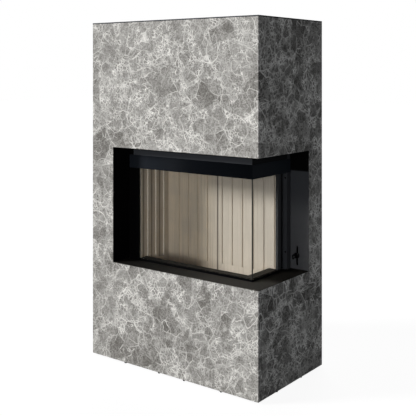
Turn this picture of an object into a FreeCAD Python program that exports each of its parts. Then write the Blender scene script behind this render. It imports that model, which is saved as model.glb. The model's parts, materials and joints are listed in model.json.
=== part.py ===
import FreeCAD
import Part
import os

os.makedirs("parts", exist_ok=True)

# Every place is told by s, the way in from the right face, t, the way in from the front face,
# and z, the height above the floor.

# Casing
casing_width = 1086.0
casing_depth = 600.0
stone_height = 1794.0
floor_gap = 8.0
slab_thickness = 20.0
slab_arris = 1.5
top_plate_thickness = 6.0
back_sheet_thickness = 2.0

# Opening in the front right corner
sill_level = 527.0
opening_height = 611.0
left_pier_width = 156.0
rear_pier_width = 138.0
recess_depth = 102.0
liner_sheet = 2.0

# Cooling slots and the way out for the flue
flue_hole_radius = 120.0
air_slot_width = 8.0
air_slot_length = 90.0
air_slot_pitch = 24.0
air_slots_per_side = 8
air_slot_edge = 110.0
back_slot_level = 60.0
outlet_slot_inset = 62.0

# Steel frame
tube_size = 30.0
tube_wall = 2.0
right_cross_bar_share = 0.3131
left_cross_bar_share = 0.6584

# Levelling feet
foot_radius = 6.5
foot_pad_height = 5.0
foot_neck_radius = 4.5
foot_inset = 13.0
foot_row_shares = (0.2065, 0.4177, 0.5689, 0.7845)
foot_side_shares = (0.296, 0.673)

# Header band, fascia and covers
header_height = 70.0
header_thickness = 3.0
header_drop = 44.0
header_arris = 0.8
header_left_gap = 23.0
header_rear_gap = 9.0
fascia_overlap = 14.0
cover_width = 67.0
cover_flange = 12.0

# Guides of the door
guide_sheet = 2.0
guide_gap = 2.0
guide_depth = 26.0
channel_strip = 27.0
channel_depth = 28.0
channel_width = 34.0
guide_margin = 40.0
guide_drop = 39.7
screw_inset = 10.5
screw_head_radius = 4.5
screw_head_height = 2.5
screw_radius = 2.5
screw_clear = 0.25
screw_nut_height = 4.0
screw_low = 89.0
screw_high = 470.0

# Door
door_gap = 2.0
rest_gap = 0.3
glass_thickness = 4.0
glass_seam_width = 3.0
door_depth = 16.0
door_over = 61.3
bottom_rail_height = 12.0
bottom_rail_depth = 14.0
top_rail_height = 25.0
left_stile_width = 24.0
stile_play = 2.0
rear_stile_setback = 27.0
rear_stile_depth = 26.0
rear_stile_lip = 7.0
rear_stile_width = 18.0
shoe_height = 65.0
shoe_play = 1.0
left_shoe_width = 23.0
right_shoe_width = 16.0
right_shoe_play = 3.0
cable_end_radius = 4.0
cable_end_height = 15.0

# Firebox body
body_plate = 4.0
body_left_setback = 53.0
body_rear_setback = 66.0
ledge_gap = 1.0
ledge_rise = 10.0
ledge_width = 50.0
kerb_thickness = 26.0
hearth_depth = 82.0
hearth_thickness = 30.0
joint_gap = 1.0
dome_height = 230.0
dome_front_setback = 20.0
dome_right_setback = 10.0
dome_top_side = 240.0
dome_skirt = 59.0
baffle_lip = 20.0
baffle_thickness = 25.0
baffle_throat = 56.0
flue_radius = 100.0
flue_wall = 4.0
collar_height = 70.0
collar_bead = 3.0
floor_air_hole_side = 90.0
stand_leg_shares = (0.275, 0.6083)
stand_foot_side = 60.0
stand_foot_height = 4.0

# Fluted lining panels
panel_over = 21.0
back_panel_thickness = 32.0
left_panel_thickness = 27.0
panel_edge_radius = 10.0
groove_width = 8.0
groove_depth = 8.0
groove_pitch = 65.7
groove_start = 70.0
back_joint_share = 0.4613
left_groove_start = 69.0
right_groove_start = 31.0
right_groove_count = 6
left_groove_count = 4
rib_width = 24.0
rib_pitch = 66.8
rib_first = 58.0
rib_count = 3

# Lifting gear
pulley_drop = 102.0
pulley_rim_radius = 34.0
pulley_width = 12.0
pulley_groove_width = 8.0
pulley_root_drop = 3.8
pulley_side_gap = 4.0
cable_turn = 31.8
cable_radius = 1.5
cable_left_inset = 11.0
cable_right_inset = 9.0
cable_right_reach = 17.0
axle_radius = 6.0
axle_clear = 0.08
hanger_thickness = 5.0
hanger_ear_radius = 16.0
hanger_strip = 34.0
rear_shaft_setback = 110.0
weight_width = 52.0
weight_thickness = 30.0
weight_height = 350.0
weight_drop = 100.0
weight_offset = 6.0
weight_arris = 2.0
rod_offset = 19.0
rod_radius = 6.0
rod_clear = 0.1
tie_height = 30.0
tie_thickness = 16.0
tie_rise = 50.0
stop_radius = 12.0
stop_height = 15.0
cleat_width = 30.0
cleat_thickness = 4.0
cleat_nose = 14.0

# Air control
slot_inset = 68.0
slot_width = 11.0
slot_length = 100.0
slot_rise = 19.0
ring_reach = 37.0
ring_radius = 11.0
ring_wire_radius = 2.5
handle_rise = 70.0
rosette_radius = 15.0
rosette_thickness = 6.0
rosette_round = 2.0
rosette_gap = 0.5
stem_radius = 4.5
gate_gap = 3.0
gate_thickness = 3.0
gate_arm_width = 20.0
gate_arm_over = 10.0
gate_cross_level = 490.0
gate_blade_width = 110.0
gate_blade_height = 100.0
gate_neck_height = 20.0
air_center = 230.0
housing_width = 160.0
housing_depth = 13.0
housing_low = 320.0
housing_height = 120.0
housing_slot_clear = 0.5
housing_foot = 5.0
port_width = 90.0
port_height = 80.0
port_rise = 20.0
air_box_length = 142.0
air_box_sheet = 2.0
inlet_radius = 62.5
inlet_wall = 2.0
inlet_hole_radius = 75.0

# Slab clips
clip_width = 40.0
clip_thickness = 3.0
clip_leg = 26.0
clip_shares = (0.2, 0.8)

# Levels and planes that follow
same_place = 1e-4
full_turn = 360
quarter_turn = 90
bar_sides = 8
turned_sides = 24
ring_flat_share = 0.58
round_sides = 16
foot_sides = 12
neck_sides = 6
stone_top = floor_gap + stone_height
opening_top = sill_level + opening_height
seam_level = opening_top + liner_sheet
stone_sill = sill_level - liner_sheet
reveal_left = casing_width - left_pier_width
reveal_rear = casing_depth - rear_pier_width
frame_rear = casing_depth - back_sheet_thickness
header_top = opening_top - header_drop
header_bottom = header_top - header_height
header_left = reveal_left - header_left_gap
header_rear = reveal_rear - header_rear_gap
fascia_plane = recess_depth + header_thickness
glass_plane = fascia_plane + liner_sheet + door_gap
door_back = glass_plane + door_depth
door_bottom = sill_level + rest_gap
door_top = header_bottom + door_over
glass_bottom = door_bottom + bottom_rail_height
glass_top = door_top - top_rail_height
shoe_top = door_top + shoe_height
pulley_level = stone_top - pulley_drop
guide_top = pulley_level - guide_drop
lift_travel = guide_top - guide_margin - shoe_top
guide_web = header_left - liner_sheet
door_left = guide_web - guide_sheet - stile_play
channel_back = header_rear - channel_strip
channel_front = channel_back - channel_depth
rear_stile_back = channel_front - rear_stile_setback
rear_stile_front = rear_stile_back - rear_stile_depth
ledge_plane = door_back + ledge_gap
ledge_level = sill_level + ledge_rise
body_edge = ledge_plane + body_plate
body_left_out = reveal_left - body_left_setback
body_left_in = body_left_out - body_plate
body_back_out = reveal_rear - body_rear_setback
body_back_in = body_back_out - body_plate
hearth_floor = sill_level - hearth_depth
floor_under = hearth_floor - body_plate
kerb_back = ledge_plane + ledge_width
panel_top = header_bottom + panel_over
panel_right_end = body_edge + joint_gap
back_joint = back_joint_share * casing_width
left_panel_face = body_left_in - left_panel_thickness
back_panel_face = body_back_in - back_panel_thickness
air_box_front = body_back_in - air_box_length
dome_base = panel_top - body_plate + dome_skirt
dome_right = body_edge + dome_right_setback
dome_front = body_edge + dome_front_setback
flue_s = (dome_right + body_left_out) / 2
flue_t = (dome_front + body_back_out) / 2
dome_top = dome_base + dome_height
channel_left = fascia_plane + channel_width
cable_left_s = guide_web - guide_sheet - cable_left_inset
cable_right_s = glass_plane + cable_right_inset
cable_left_t = glass_plane + door_depth / 2
left_pulley_t = cable_left_t + cable_turn
cable_right_t = rear_stile_back + cable_right_reach
right_pulley_t = cable_right_t + cable_turn
rear_shaft_t = casing_depth - rear_shaft_setback
weight_t = rear_shaft_t + cable_turn
weight_top = pulley_level - weight_drop
hanger_offset = pulley_width / 2 + pulley_side_gap
bar_offset = hanger_offset + hanger_thickness
gate_plane = reveal_rear + liner_sheet + gate_gap
handle_level = sill_level + handle_rise
inlet_level = housing_low + port_rise + port_height / 2


def place(s, t, z):
    """Point in the shared frame."""
    return FreeCAD.Vector(casing_width / 2 - s, t - casing_depth / 2, z)


def block(s0, s1, t0, t1, z0, z1):
    """Upright box between two places."""
    return Part.makeBox(s1 - s0, t1 - t0, z1 - z0, place(s1, t0, z0))


def prism(outline, z0, z1):
    """Upright prism over an outline of (s, t) points."""
    ring = [place(s, t, z0) for s, t in outline]
    return Part.Face(Part.makePolygon(ring + ring[:1])).extrude(FreeCAD.Vector(0, 0, z1 - z0))


def cylinder(radius, start, end):
    """Round bar between two (s, t, z) places."""
    first = place(*start)
    along = place(*end) - first
    return Part.makeCylinder(radius, along.Length, first, along)


def ring(outer, inner, start, end):
    """Round tube between two places."""
    return cylinder(outer, start, end).cut(cylinder(inner, start, end))


def polygon_outline(radius, sides, start, along):
    """Outline with flats round a place, square to a direction."""
    across = FreeCAD.Vector(0, 0, 1) if along.z == 0 else FreeCAD.Vector(0, 1, 0)
    arm = across * radius
    ring_points = []
    for side in range(sides):
        turn = FreeCAD.Rotation(along, full_turn * (side + 0.5) / sides)
        ring_points.append(start + turn.multVec(arm))
    return Part.makePolygon(ring_points + ring_points[:1])


def polygon_bar(radius, sides, start, end):
    """Bar with flats between two places, for small parts that repeat."""
    first = place(*start)
    along = place(*end) - first
    return Part.Face(polygon_outline(radius, sides, first, along)).extrude(along)


def turned(profile, start, end):
    """Turned piece with flats, from radii at distances past the start."""
    first = place(*start)
    along = (place(*end) - first).normalize()
    outlines = [polygon_outline(radius, turned_sides, first + along * reach, along)
                for reach, radius in profile]
    faces = [Part.Face(outlines[0]), Part.Face(outlines[-1])]
    for near, far in zip(outlines, outlines[1:]):
        for one, two in zip(near.Edges, far.Edges):
            corners = [one.Vertexes[0].Point, one.Vertexes[1].Point,
                       two.Vertexes[1].Point, two.Vertexes[0].Point]
            faces.append(Part.Face(Part.makePolygon(corners + corners[:1])))
    return Part.makeSolid(Part.makeShell(faces))


def polygon_ring(bend, radius, center):
    """Ring of round bar, standing in the plane of the sides, with flats."""
    s, t, z = center
    start = (s - radius, t, z)
    end = (s + radius, t, z)
    outside = polygon_bar(bend + radius, turned_sides, start, end)
    inside = polygon_bar(bend - radius, turned_sides, start, end)
    rings = outside.cut(inside)
    rim = [edge for edge in rings.Edges
           if abs(edge.Vertexes[0].X - edge.Vertexes[-1].X) < same_place]
    return rings.makeChamfer(radius * ring_flat_share, rim)


def bent_bar(bend, radius, center, start_turn, turn):
    """Bar with eight flats bent round an axis that runs from side to side."""
    axis = FreeCAD.Vector(1, 0, 0)
    middle = place(*center)
    heart = middle + FreeCAD.Vector(0, bend, 0)
    section = []
    for side in range(bar_sides):
        arm = FreeCAD.Rotation(FreeCAD.Vector(0, 0, 1), full_turn * (side + 0.5) / bar_sides)
        section.append(heart + arm.multVec(FreeCAD.Vector(radius, 0, 0)))
    face = Part.Face(Part.makePolygon(section + section[:1]))
    face.rotate(middle, axis, start_turn)
    return face.revolve(middle, axis, turn)


def joined(pieces):
    """One solid out of pieces that touch or overlap."""
    return pieces[0].multiFuse(pieces[1:]).removeSplitter().Solids[0]


def cut_from(piece, tools):
    """The piece with all tools taken away."""
    return piece.cut(Part.makeCompound(tools)).removeSplitter().Solids[0]


def tube(axis, s0, s1, t0, t1, z0, z1):
    """Square tube, open at both ends of its axis."""
    s_in = 0 if axis == "s" else tube_wall
    t_in = 0 if axis == "t" else tube_wall
    z_in = 0 if axis == "z" else tube_wall
    inside = block(s0 + s_in, s1 - s_in, t0 + t_in, t1 - t_in, z0 + z_in, z1 - z_in)
    return block(s0, s1, t0, t1, z0, z1).cut(inside)


def post(s, t, z0, z1):
    """Upright tube that starts at s and t."""
    return tube("z", s, s + tube_size, t, t + tube_size, z0, z1)


def band(front, thickness, left_end, rear_end, z0, z1):
    """Two mitred runs round the recess corner: front run and right run."""
    back = front + thickness
    front_run = prism([(left_end, front), (left_end, back), (back, back), (front, front)], z0, z1)
    right_run = prism([(front, front), (back, back), (back, rear_end), (front, rear_end)], z0, z1)
    return [front_run, right_run]


def level_edges(solid, on_face, level):
    """Edges of a solid at one level that lie on the tested face."""
    picked = []
    for edge in solid.Edges:
        ends = [vertex.Point for vertex in edge.Vertexes]
        if all(abs(end.z - level) < same_place and on_face(end) for end in ends):
            picked.append(edge)
    return picked


def on_front(t):
    """Test for points on a plane that faces the front."""
    return lambda point: abs(point.y - place(0, t, 0).y) < same_place


def on_side(s):
    """Test for points on a plane that faces a side."""
    return lambda point: abs(point.x - place(s, 0, 0).x) < same_place


def eased(solid, size, on_face, levels):
    """The solid with the level edges of one face bevelled."""
    picked = []
    for level in levels:
        picked += level_edges(solid, on_face, level)
    return solid.makeChamfer(size, picked)


def save(name, solids):
    """Write one node."""
    for solid in solids:
        if not solid.isValid() or solid.Volume <= 0:
            raise ValueError("bad solid in " + name)
    shape = solids[0] if len(solids) == 1 else Part.makeCompound(solids)
    shape.exportStep("parts/" + name + ".step")


# Stone slabs, mitred at the upright corners

def front_plan(right_end):
    """Plan of a front slab: right_end 0 reaches the corner, else it stops there."""
    half = slab_arris / 2
    left = casing_width
    outline = [(left - slab_arris, 0), (left - half, half),
               (left - slab_thickness, slab_thickness)]
    if right_end == 0:
        return outline + [(slab_thickness, slab_thickness), (half, half), (slab_arris, 0)]
    return outline + [(right_end, slab_thickness), (right_end, 0)]


def side_plan(outer, inward):
    """Plan of a side slab that stands at outer and grows by inward, 1 or -1."""
    half = slab_arris / 2
    inner = outer + inward * slab_thickness
    return [(outer, slab_arris), (outer, casing_depth), (inner, casing_depth),
            (inner, slab_thickness), (outer + inward * half, half)]


def front_lower_slab():
    pier_edge = reveal_left + liner_sheet
    apron = prism(front_plan(0), floor_gap, stone_sill)
    pier = prism(front_plan(pier_edge), stone_sill, seam_level)
    slab = joined([apron, pier])
    return [eased(slab, slab_arris, on_front(0), [floor_gap, seam_level])]


def front_upper_slab():
    slab = prism(front_plan(0), seam_level, stone_top)
    return [eased(slab, slab_arris, on_front(0), [seam_level])]


def right_lower_slab():
    apron = prism(side_plan(0, 1), floor_gap, stone_sill)
    pier = block(0, slab_thickness, reveal_rear + liner_sheet, casing_depth, stone_sill, seam_level)
    slab = joined([apron, pier])
    return [eased(slab, slab_arris, on_side(0), [floor_gap, seam_level])]


def right_upper_slab():
    slab = prism(side_plan(0, 1), seam_level, stone_top)
    return [eased(slab, slab_arris, on_side(0), [seam_level])]


def left_lower_slab():
    slab = prism(side_plan(casing_width, -1), floor_gap, seam_level)
    return [eased(slab, slab_arris, on_side(casing_width), [floor_gap, seam_level])]


def left_upper_slab():
    slab = prism(side_plan(casing_width, -1), seam_level, stone_top)
    return [eased(slab, slab_arris, on_side(casing_width), [seam_level])]


# Sheets of the casing

def slot_row(first, direction, t0, t1, z0, z1):
    """Row of slots that starts at first and walks along s."""
    slots = []
    for step in range(air_slots_per_side):
        middle = first + direction * step * air_slot_pitch
        slots.append(block(middle - air_slot_width / 2, middle + air_slot_width / 2, t0, t1, z0, z1))
    return slots


def back_sheet():
    sheet = block(slab_thickness, casing_width - slab_thickness, frame_rear, casing_depth,
                  floor_gap, stone_top)
    slot_top = back_slot_level + air_slot_length
    span = (frame_rear, casing_depth, back_slot_level, slot_top)
    holes = slot_row(air_slot_edge, 1, *span)
    holes += slot_row(casing_width - air_slot_edge, -1, *span)
    holes.append(cylinder(inlet_hole_radius, (air_center, frame_rear, inlet_level),
                          (air_center, casing_depth, inlet_level)))
    return [cut_from(sheet, holes)]


def top_plate():
    plate_top = stone_top + top_plate_thickness
    plate = block(0, casing_width, 0, casing_depth, stone_top, plate_top)
    slot_back = outlet_slot_inset + air_slot_length
    span = (outlet_slot_inset, slot_back, stone_top, plate_top)
    holes = slot_row(air_slot_edge, 1, *span)
    holes += slot_row(casing_width - air_slot_edge, -1, *span)
    holes.append(cylinder(flue_hole_radius, (flue_s, flue_t, stone_top), (flue_s, flue_t, plate_top)))
    return [cut_from(plate, holes)]


# Steel frame

def frame_ring(level):
    """Level ring of four tubes inside the slabs."""
    s0 = slab_thickness
    s1 = casing_width - slab_thickness
    top = level + tube_size
    side0 = s0 + tube_size
    side1 = frame_rear - tube_size
    return [tube("s", s0, s1, s0, side0, level, top),
            tube("s", s0, s1, side1, frame_rear, level, top),
            tube("t", s0, side0, side0, side1, level, top),
            tube("t", s1 - tube_size, s1, side0, side1, level, top)]


def cross_bar(s, level):
    """Bar between the front and rear tubes of a ring."""
    return tube("t", s, s + tube_size, slab_thickness + tube_size, frame_rear - tube_size,
                level, level + tube_size)


def base_frame():
    bars = [cross_bar(share * casing_width - tube_size / 2, floor_gap)
            for share in (right_cross_bar_share, left_cross_bar_share)]
    return frame_ring(floor_gap) + bars


def corner_posts():
    low = floor_gap + tube_size
    high = stone_top - tube_size
    right = slab_thickness
    left = casing_width - slab_thickness - tube_size
    rear = frame_rear - tube_size
    return [post(left, slab_thickness, low, high), post(left, rear, low, high),
            post(right, rear, low, high), post(right, slab_thickness, low, stone_sill - tube_size),
            post(right, slab_thickness, seam_level + tube_size, high)]


def opening_rails(level):
    """Front and right tubes that run to the posts."""
    s0 = slab_thickness
    side0 = s0 + tube_size
    top = level + tube_size
    left_post = casing_width - s0 - tube_size
    return [tube("s", s0, left_post, s0, side0, level, top),
            tube("t", s0, side0, side0, frame_rear - tube_size, level, top)]


def sill_rails():
    level = stone_sill - tube_size
    rear = tube("s", slab_thickness + tube_size, casing_width - slab_thickness - tube_size,
                frame_rear - tube_size, frame_rear, level, stone_sill)
    left = tube("t", casing_width - slab_thickness - tube_size, casing_width - slab_thickness,
                slab_thickness + tube_size, frame_rear - tube_size, level, stone_sill)
    return opening_rails(level) + [rear, left]


def lintel_rails():
    return opening_rails(seam_level)


def top_rails():
    level = stone_top - tube_size
    left_bar = cross_bar(cable_left_s + bar_offset, level)
    right_bar = cross_bar(cable_right_s - bar_offset - tube_size, level)
    return frame_ring(level) + [left_bar, right_bar]


def foot(s, t):
    pad = polygon_bar(foot_radius, foot_sides, (s, t, 0), (s, t, foot_pad_height))
    neck = polygon_bar(foot_neck_radius, neck_sides, (s, t, foot_pad_height), (s, t, floor_gap))
    return joined([pad, neck])


def levelling_feet():
    feet = []
    for share in foot_row_shares:
        feet.append(foot(share * casing_width, foot_inset))
        feet.append(foot(share * casing_width, casing_depth - foot_inset))
    for share in foot_side_shares:
        feet.append(foot(foot_inset, share * casing_depth))
        feet.append(foot(casing_width - foot_inset, share * casing_depth))
    return feet


def slab_clips():
    """Angles that hold the upper slabs on the lintel and top rails."""
    clips = []
    back = slab_thickness + tube_size
    level = seam_level + tube_size
    for share in clip_shares:
        s0 = share * casing_width
        s1 = s0 + clip_width
        foot_leg = block(s0, s1, slab_thickness, back, level, level + clip_thickness)
        wall_leg = block(s0, s1, slab_thickness, slab_thickness + clip_thickness, level,
                         level + clip_leg)
        clips.append(joined([foot_leg, wall_leg]))
        t0 = share * reveal_rear
        t1 = t0 + clip_width
        foot_leg = block(slab_thickness, back, t0, t1, level, level + clip_thickness)
        wall_leg = block(slab_thickness, slab_thickness + clip_thickness, t0, t1, level,
                         level + clip_leg)
        clips.append(joined([foot_leg, wall_leg]))
    return clips


# Lining of the recess

def sill_plates():
    return [block(0, reveal_left, 0, ledge_plane, stone_sill, sill_level),
            block(0, ledge_plane, ledge_plane, reveal_rear, stone_sill, sill_level)]


def soffit_plates():
    return [block(0, reveal_left, 0, fascia_plane, opening_top, seam_level),
            block(0, fascia_plane, fascia_plane, reveal_rear, opening_top, seam_level)]


def left_reveal():
    side_out = reveal_left + liner_sheet
    back = door_back + guide_gap + guide_sheet
    side = block(reveal_left, side_out, 0, back + liner_sheet, stone_sill, seam_level)
    return_leg = block(guide_web, side_out, back, back + liner_sheet, stone_sill, seam_level)
    return [joined([side, return_leg])]


def rear_reveal():
    back = reveal_rear + liner_sheet
    panel = block(0, channel_left + liner_sheet, reveal_rear, back, stone_sill, seam_level)
    low = sill_level + slot_rise
    half = slot_width / 2
    slot = block(slot_inset - half, slot_inset + half, reveal_rear, back, low + half,
                 low + slot_length - half)
    ends = [cylinder(half, (slot_inset, reveal_rear, z), (slot_inset, back, z))
            for z in (low + half, low + slot_length - half)]
    return [cut_from(panel, [slot] + ends)]


def fascia():
    front, right = band(fascia_plane, liner_sheet, guide_web - guide_depth,
                        channel_back - guide_sheet - rest_gap, header_top - fascia_overlap, seam_level)
    return [front, right]


def header_band():
    front, right = band(recess_depth, header_thickness, header_left, header_rear,
                        header_bottom, header_top)
    levels = [header_bottom, header_top]
    return [eased(front, header_arris, on_front(recess_depth), levels),
            eased(right, header_arris, on_side(recess_depth), levels)]


def left_guide_cover():
    inner = header_left - cover_width
    face = block(inner, header_left, recess_depth, fascia_plane, sill_level, header_bottom)
    flange = block(header_left - liner_sheet, header_left, fascia_plane, fascia_plane + cover_flange,
                   sill_level, header_bottom)
    return [joined([face, flange])]


def left_guide_rail():
    web_in = guide_web - guide_sheet
    front_back = fascia_plane + guide_sheet
    rear_front = door_back + guide_gap
    rear_back = rear_front + guide_sheet
    web = block(web_in, guide_web, fascia_plane, rear_back, sill_level, guide_top)
    front = block(guide_web - guide_depth, web_in, fascia_plane, front_back, sill_level, guide_top)
    rear = block(body_left_out, web_in, rear_front, rear_back, sill_level, guide_top)
    return [joined([web, front, rear])]


def channel_screw_levels():
    return [sill_level + screw_low, sill_level + screw_high]


def right_channel():
    plate_front = channel_back - guide_sheet
    wall = block(channel_left - guide_sheet, channel_left, channel_front, channel_back,
                 sill_level, guide_top)
    plate = block(fascia_plane, channel_left, plate_front, channel_back, sill_level, guide_top)
    strip = block(fascia_plane, fascia_plane + guide_sheet, channel_back, header_rear,
                  sill_level, guide_top)
    screw_s = fascia_plane + screw_inset
    holes = [cylinder(screw_radius + screw_clear, (screw_s, plate_front, z), (screw_s, channel_back, z))
             for z in channel_screw_levels()]
    return [cut_from(joined([wall, plate, strip]), holes)]


def channel_screws():
    screws = []
    s = fascia_plane + screw_inset
    plate_front = channel_back - guide_sheet
    nut_back = channel_back + screw_nut_height
    for z in channel_screw_levels():
        head = polygon_bar(screw_head_radius, round_sides, (s, plate_front - screw_head_height, z),
                           (s, plate_front, z))
        shank = polygon_bar(screw_radius, bar_sides, (s, plate_front, z), (s, nut_back, z))
        nut = polygon_bar(screw_head_radius, neck_sides, (s, channel_back, z), (s, nut_back, z))
        screws.append(joined([head, shank, nut]))
    return screws


# Firebox body and its lining

def ledge_frame():
    """Ledge inside the glass with the skirt that closes the body below it."""
    plate_low = ledge_level - body_plate
    front, right = band(ledge_plane, ledge_width, left_panel_face, back_panel_face - joint_gap,
                        plate_low, ledge_level)
    front_skirt, right_skirt = band(ledge_plane, body_plate, body_left_out, body_back_out,
                                    floor_under, plate_low)
    return [joined([front, front_skirt]), joined([right, right_skirt])]


def body_shell():
    """Floor, left wall and back wall, welded."""
    floor = block(body_edge, body_left_out, body_edge, body_back_out, floor_under, hearth_floor)
    left = block(body_left_in, body_left_out, body_edge, body_back_out, hearth_floor, dome_base)
    back = block(panel_right_end, body_left_out, body_back_in, body_back_out, hearth_floor, dome_base)
    half = floor_air_hole_side / 2
    hole_front = kerb_back + joint_gap
    hole_middle = (air_box_front + body_back_in) / 2
    hole = block(air_center - half, air_center + half, hole_middle - half, hole_middle + half,
                 floor_under, hearth_floor)
    slits = block(body_edge + joint_gap, hole_front, body_edge + joint_gap, hole_front,
                  floor_under, hearth_floor)
    return [cut_from(joined([floor, left, back]), [hole, slits])]


def groove_cut(s, low):
    """Round-bottomed groove in a back panel."""
    half = groove_width / 2
    front = back_panel_face
    back = front + groove_depth
    straight = block(s - half, s + half, front, back, low + half, panel_top)
    return joined([straight, cylinder(half, (s, front, low + half), (s, back, low + half))])


def back_panel(s0, s1, grooves):
    panel = block(s0, s1, back_panel_face, body_back_in, hearth_floor, panel_top)
    low = hearth_floor + groove_start
    return cut_from(panel, [groove_cut(s, low) for s in grooves])


def back_panel_right():
    first = back_joint - right_groove_start
    grooves = [first - step * groove_pitch for step in range(right_groove_count)]
    panel = back_panel(panel_right_end, back_joint, grooves)
    corner = place(panel_right_end, back_panel_face, 0)
    edges = [edge for edge in panel.Edges
             if all(abs(v.X - corner.x) < same_place and abs(v.Y - corner.y) < same_place
                    for v in edge.Vertexes)]
    return [panel.makeFillet(panel_edge_radius, edges)]


def back_panel_left():
    first = back_joint + left_groove_start
    grooves = [first + step * groove_pitch for step in range(left_groove_count)]
    return [back_panel(back_joint + joint_gap, body_left_in, grooves)]


def left_panel():
    """Side panel with standing ribs between shallow flutes."""
    front = body_edge
    back = back_panel_face
    panel = block(left_panel_face, body_left_in, front, back, hearth_floor, panel_top)
    flute_width = rib_pitch - rib_width
    low = hearth_floor + groove_start
    flutes = []
    for step in range(rib_count):
        stop = front + rib_first + step * rib_pitch
        flutes.append(block(left_panel_face, left_panel_face + groove_depth, stop - flute_width, stop,
                            low, panel_top))
    return [cut_from(panel, flutes)]


def hearth_stones():
    """Two floor slabs and the two kerbs under the ledge."""
    top = hearth_floor + hearth_thickness
    middle = (kerb_back + left_panel_face) / 2
    kerb_front = kerb_back - kerb_thickness
    kerb_top = ledge_level - body_plate
    right_slab = block(kerb_back, middle - joint_gap / 2, kerb_back, back_panel_face, hearth_floor, top)
    left_slab = block(middle + joint_gap / 2, left_panel_face, kerb_back, back_panel_face,
                      hearth_floor, top)
    front_kerb, right_kerb = band(kerb_front, kerb_thickness, left_panel_face,
                                  back_panel_face, hearth_floor, kerb_top)
    return [right_slab, left_slab, front_kerb, right_kerb]


def rectangle(s0, s1, t0, t1, z):
    """Corners of a level rectangle."""
    return [place(s0, t0, z), place(s1, t0, z), place(s1, t1, z), place(s0, t1, z)]


def hood(inset, top):
    """Tapered hood with flat sides, shrunk by the inset."""
    half = dome_top_side / 2 - inset
    low = rectangle(dome_right + inset, body_left_out - inset, dome_front + inset,
                    body_back_out - inset, dome_base)
    high = rectangle(flue_s - half, flue_s + half, flue_t - half, flue_t + half, top)
    outlines = [low, high]
    for near in range(len(low)):
        far = near - 1
        outlines.append([low[far], low[near], high[near], high[far]])
    faces = [Part.Face(Part.makePolygon(outline + outline[:1])) for outline in outlines]
    return Part.makeSolid(Part.makeShell(faces))


def smoke_dome():
    """Hood over the firebox with the skirts that hang behind the glass."""
    shell = hood(0, dome_top).cut(hood(body_plate, dome_top - body_plate))
    low = dome_base - dome_skirt
    over_panel = panel_top + rest_gap
    front_end = left_panel_face - rest_gap
    skirt_back = dome_front + body_plate
    front = joined([block(dome_right, front_end, dome_front, skirt_back, low, dome_base),
                    block(front_end, body_left_in, dome_front, skirt_back, over_panel, dome_base)])
    right = block(dome_right, dome_right + body_plate, dome_front, back_panel_face - joint_gap,
                  low, dome_base)
    rear = block(dome_right, dome_right + body_plate, back_panel_face - joint_gap, body_back_in,
                 over_panel, dome_base)
    lip = block(dome_right, dome_right + body_plate + baffle_lip, dome_front + baffle_throat,
                back_panel_face - joint_gap, low, panel_top)
    hole = flue_radius - flue_wall
    bore = cylinder(hole, (flue_s, flue_t, dome_base), (flue_s, flue_t, dome_top))
    return [cut_from(joined([shell, front, right, rear, lip]), [bore])]


def baffle_plate():
    return [block(dome_right + body_plate + rest_gap, body_left_in - rest_gap,
                  dome_front + baffle_throat, body_back_in - rest_gap,
                  panel_top, panel_top + baffle_thickness)]


def flue_collar():
    """Spigot with a bead round its top."""
    top = dome_top + collar_height
    wall = ring(flue_radius + flue_wall, flue_radius, (flue_s, flue_t, dome_top), (flue_s, flue_t, top))
    bead_low = top - 2 * collar_bead
    bead = ring(flue_radius + flue_wall + collar_bead, flue_radius, (flue_s, flue_t, bead_low),
                (flue_s, flue_t, top))
    return [joined([wall, bead])]


def insert_stand():
    """Four legs with foot plates between the base bars and the body floor."""
    legs = []
    low = floor_gap + tube_size
    half = tube_size / 2
    for share_s in (right_cross_bar_share, left_cross_bar_share):
        s = share_s * casing_width
        for share_t in stand_leg_shares:
            t = share_t * casing_depth
            leg = tube("z", s - half, s + half, t - half, t + half, low + stand_foot_height, floor_under)
            side = stand_foot_side / 2
            foot_plate = block(s - side, s + side, t - side, t + side, low, low + stand_foot_height)
            legs.append(joined([leg, foot_plate]))
    return legs


# Lifting door

def front_glass():
    return [block(glass_plane, door_left - glass_thickness, glass_plane, glass_plane + glass_thickness,
                  glass_bottom, glass_top)]


def side_glass():
    seam_back = glass_plane + glass_thickness + glass_seam_width
    return [block(glass_plane, glass_plane + glass_thickness, seam_back,
                  rear_stile_front + rear_stile_lip, glass_bottom, glass_top)]


def glass_seam():
    front = glass_plane + glass_thickness
    return [block(glass_plane, front, front, front + glass_seam_width, glass_bottom, glass_top)]


def door_top_rail():
    return band(glass_plane, door_depth, door_left, rear_stile_back, glass_top, door_top)


def door_bottom_rail():
    return band(glass_plane, bottom_rail_depth, door_left, rear_stile_back, door_bottom, glass_bottom)


def door_left_stile():
    return [block(door_left - left_stile_width, door_left, glass_plane + glass_thickness, door_back,
                  glass_bottom, glass_top)]


def door_rear_stile():
    """Rear upright of the side glass: outer leg behind the pane's edge, inner leg inside it."""
    outer = glass_plane
    pane_in = glass_plane + glass_thickness
    pane_back = rear_stile_front + rear_stile_lip
    inner = outer + rear_stile_width
    outline = [(outer, pane_back), (outer, rear_stile_back), (inner, rear_stile_back),
               (inner, rear_stile_front), (pane_in, rear_stile_front), (pane_in, pane_back)]
    return [prism(outline, glass_bottom, glass_top)]


def guide_shoes():
    """Shoes on the top rail: left in the rail, right in the channel."""
    left = block(door_left + shoe_play - left_shoe_width, door_left + shoe_play,
                 glass_plane - shoe_play, door_back + shoe_play, door_top, shoe_top)
    s0 = glass_plane + shoe_play
    s1 = s0 + right_shoe_width
    nose = channel_back - guide_sheet - right_shoe_play
    seat = block(s0, s1, rear_stile_front, rear_stile_back, door_top, shoe_top)
    arm = block(s0, s1, rear_stile_back, nose, glass_top, shoe_top)
    return [left, joined([seat, arm])]


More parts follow.
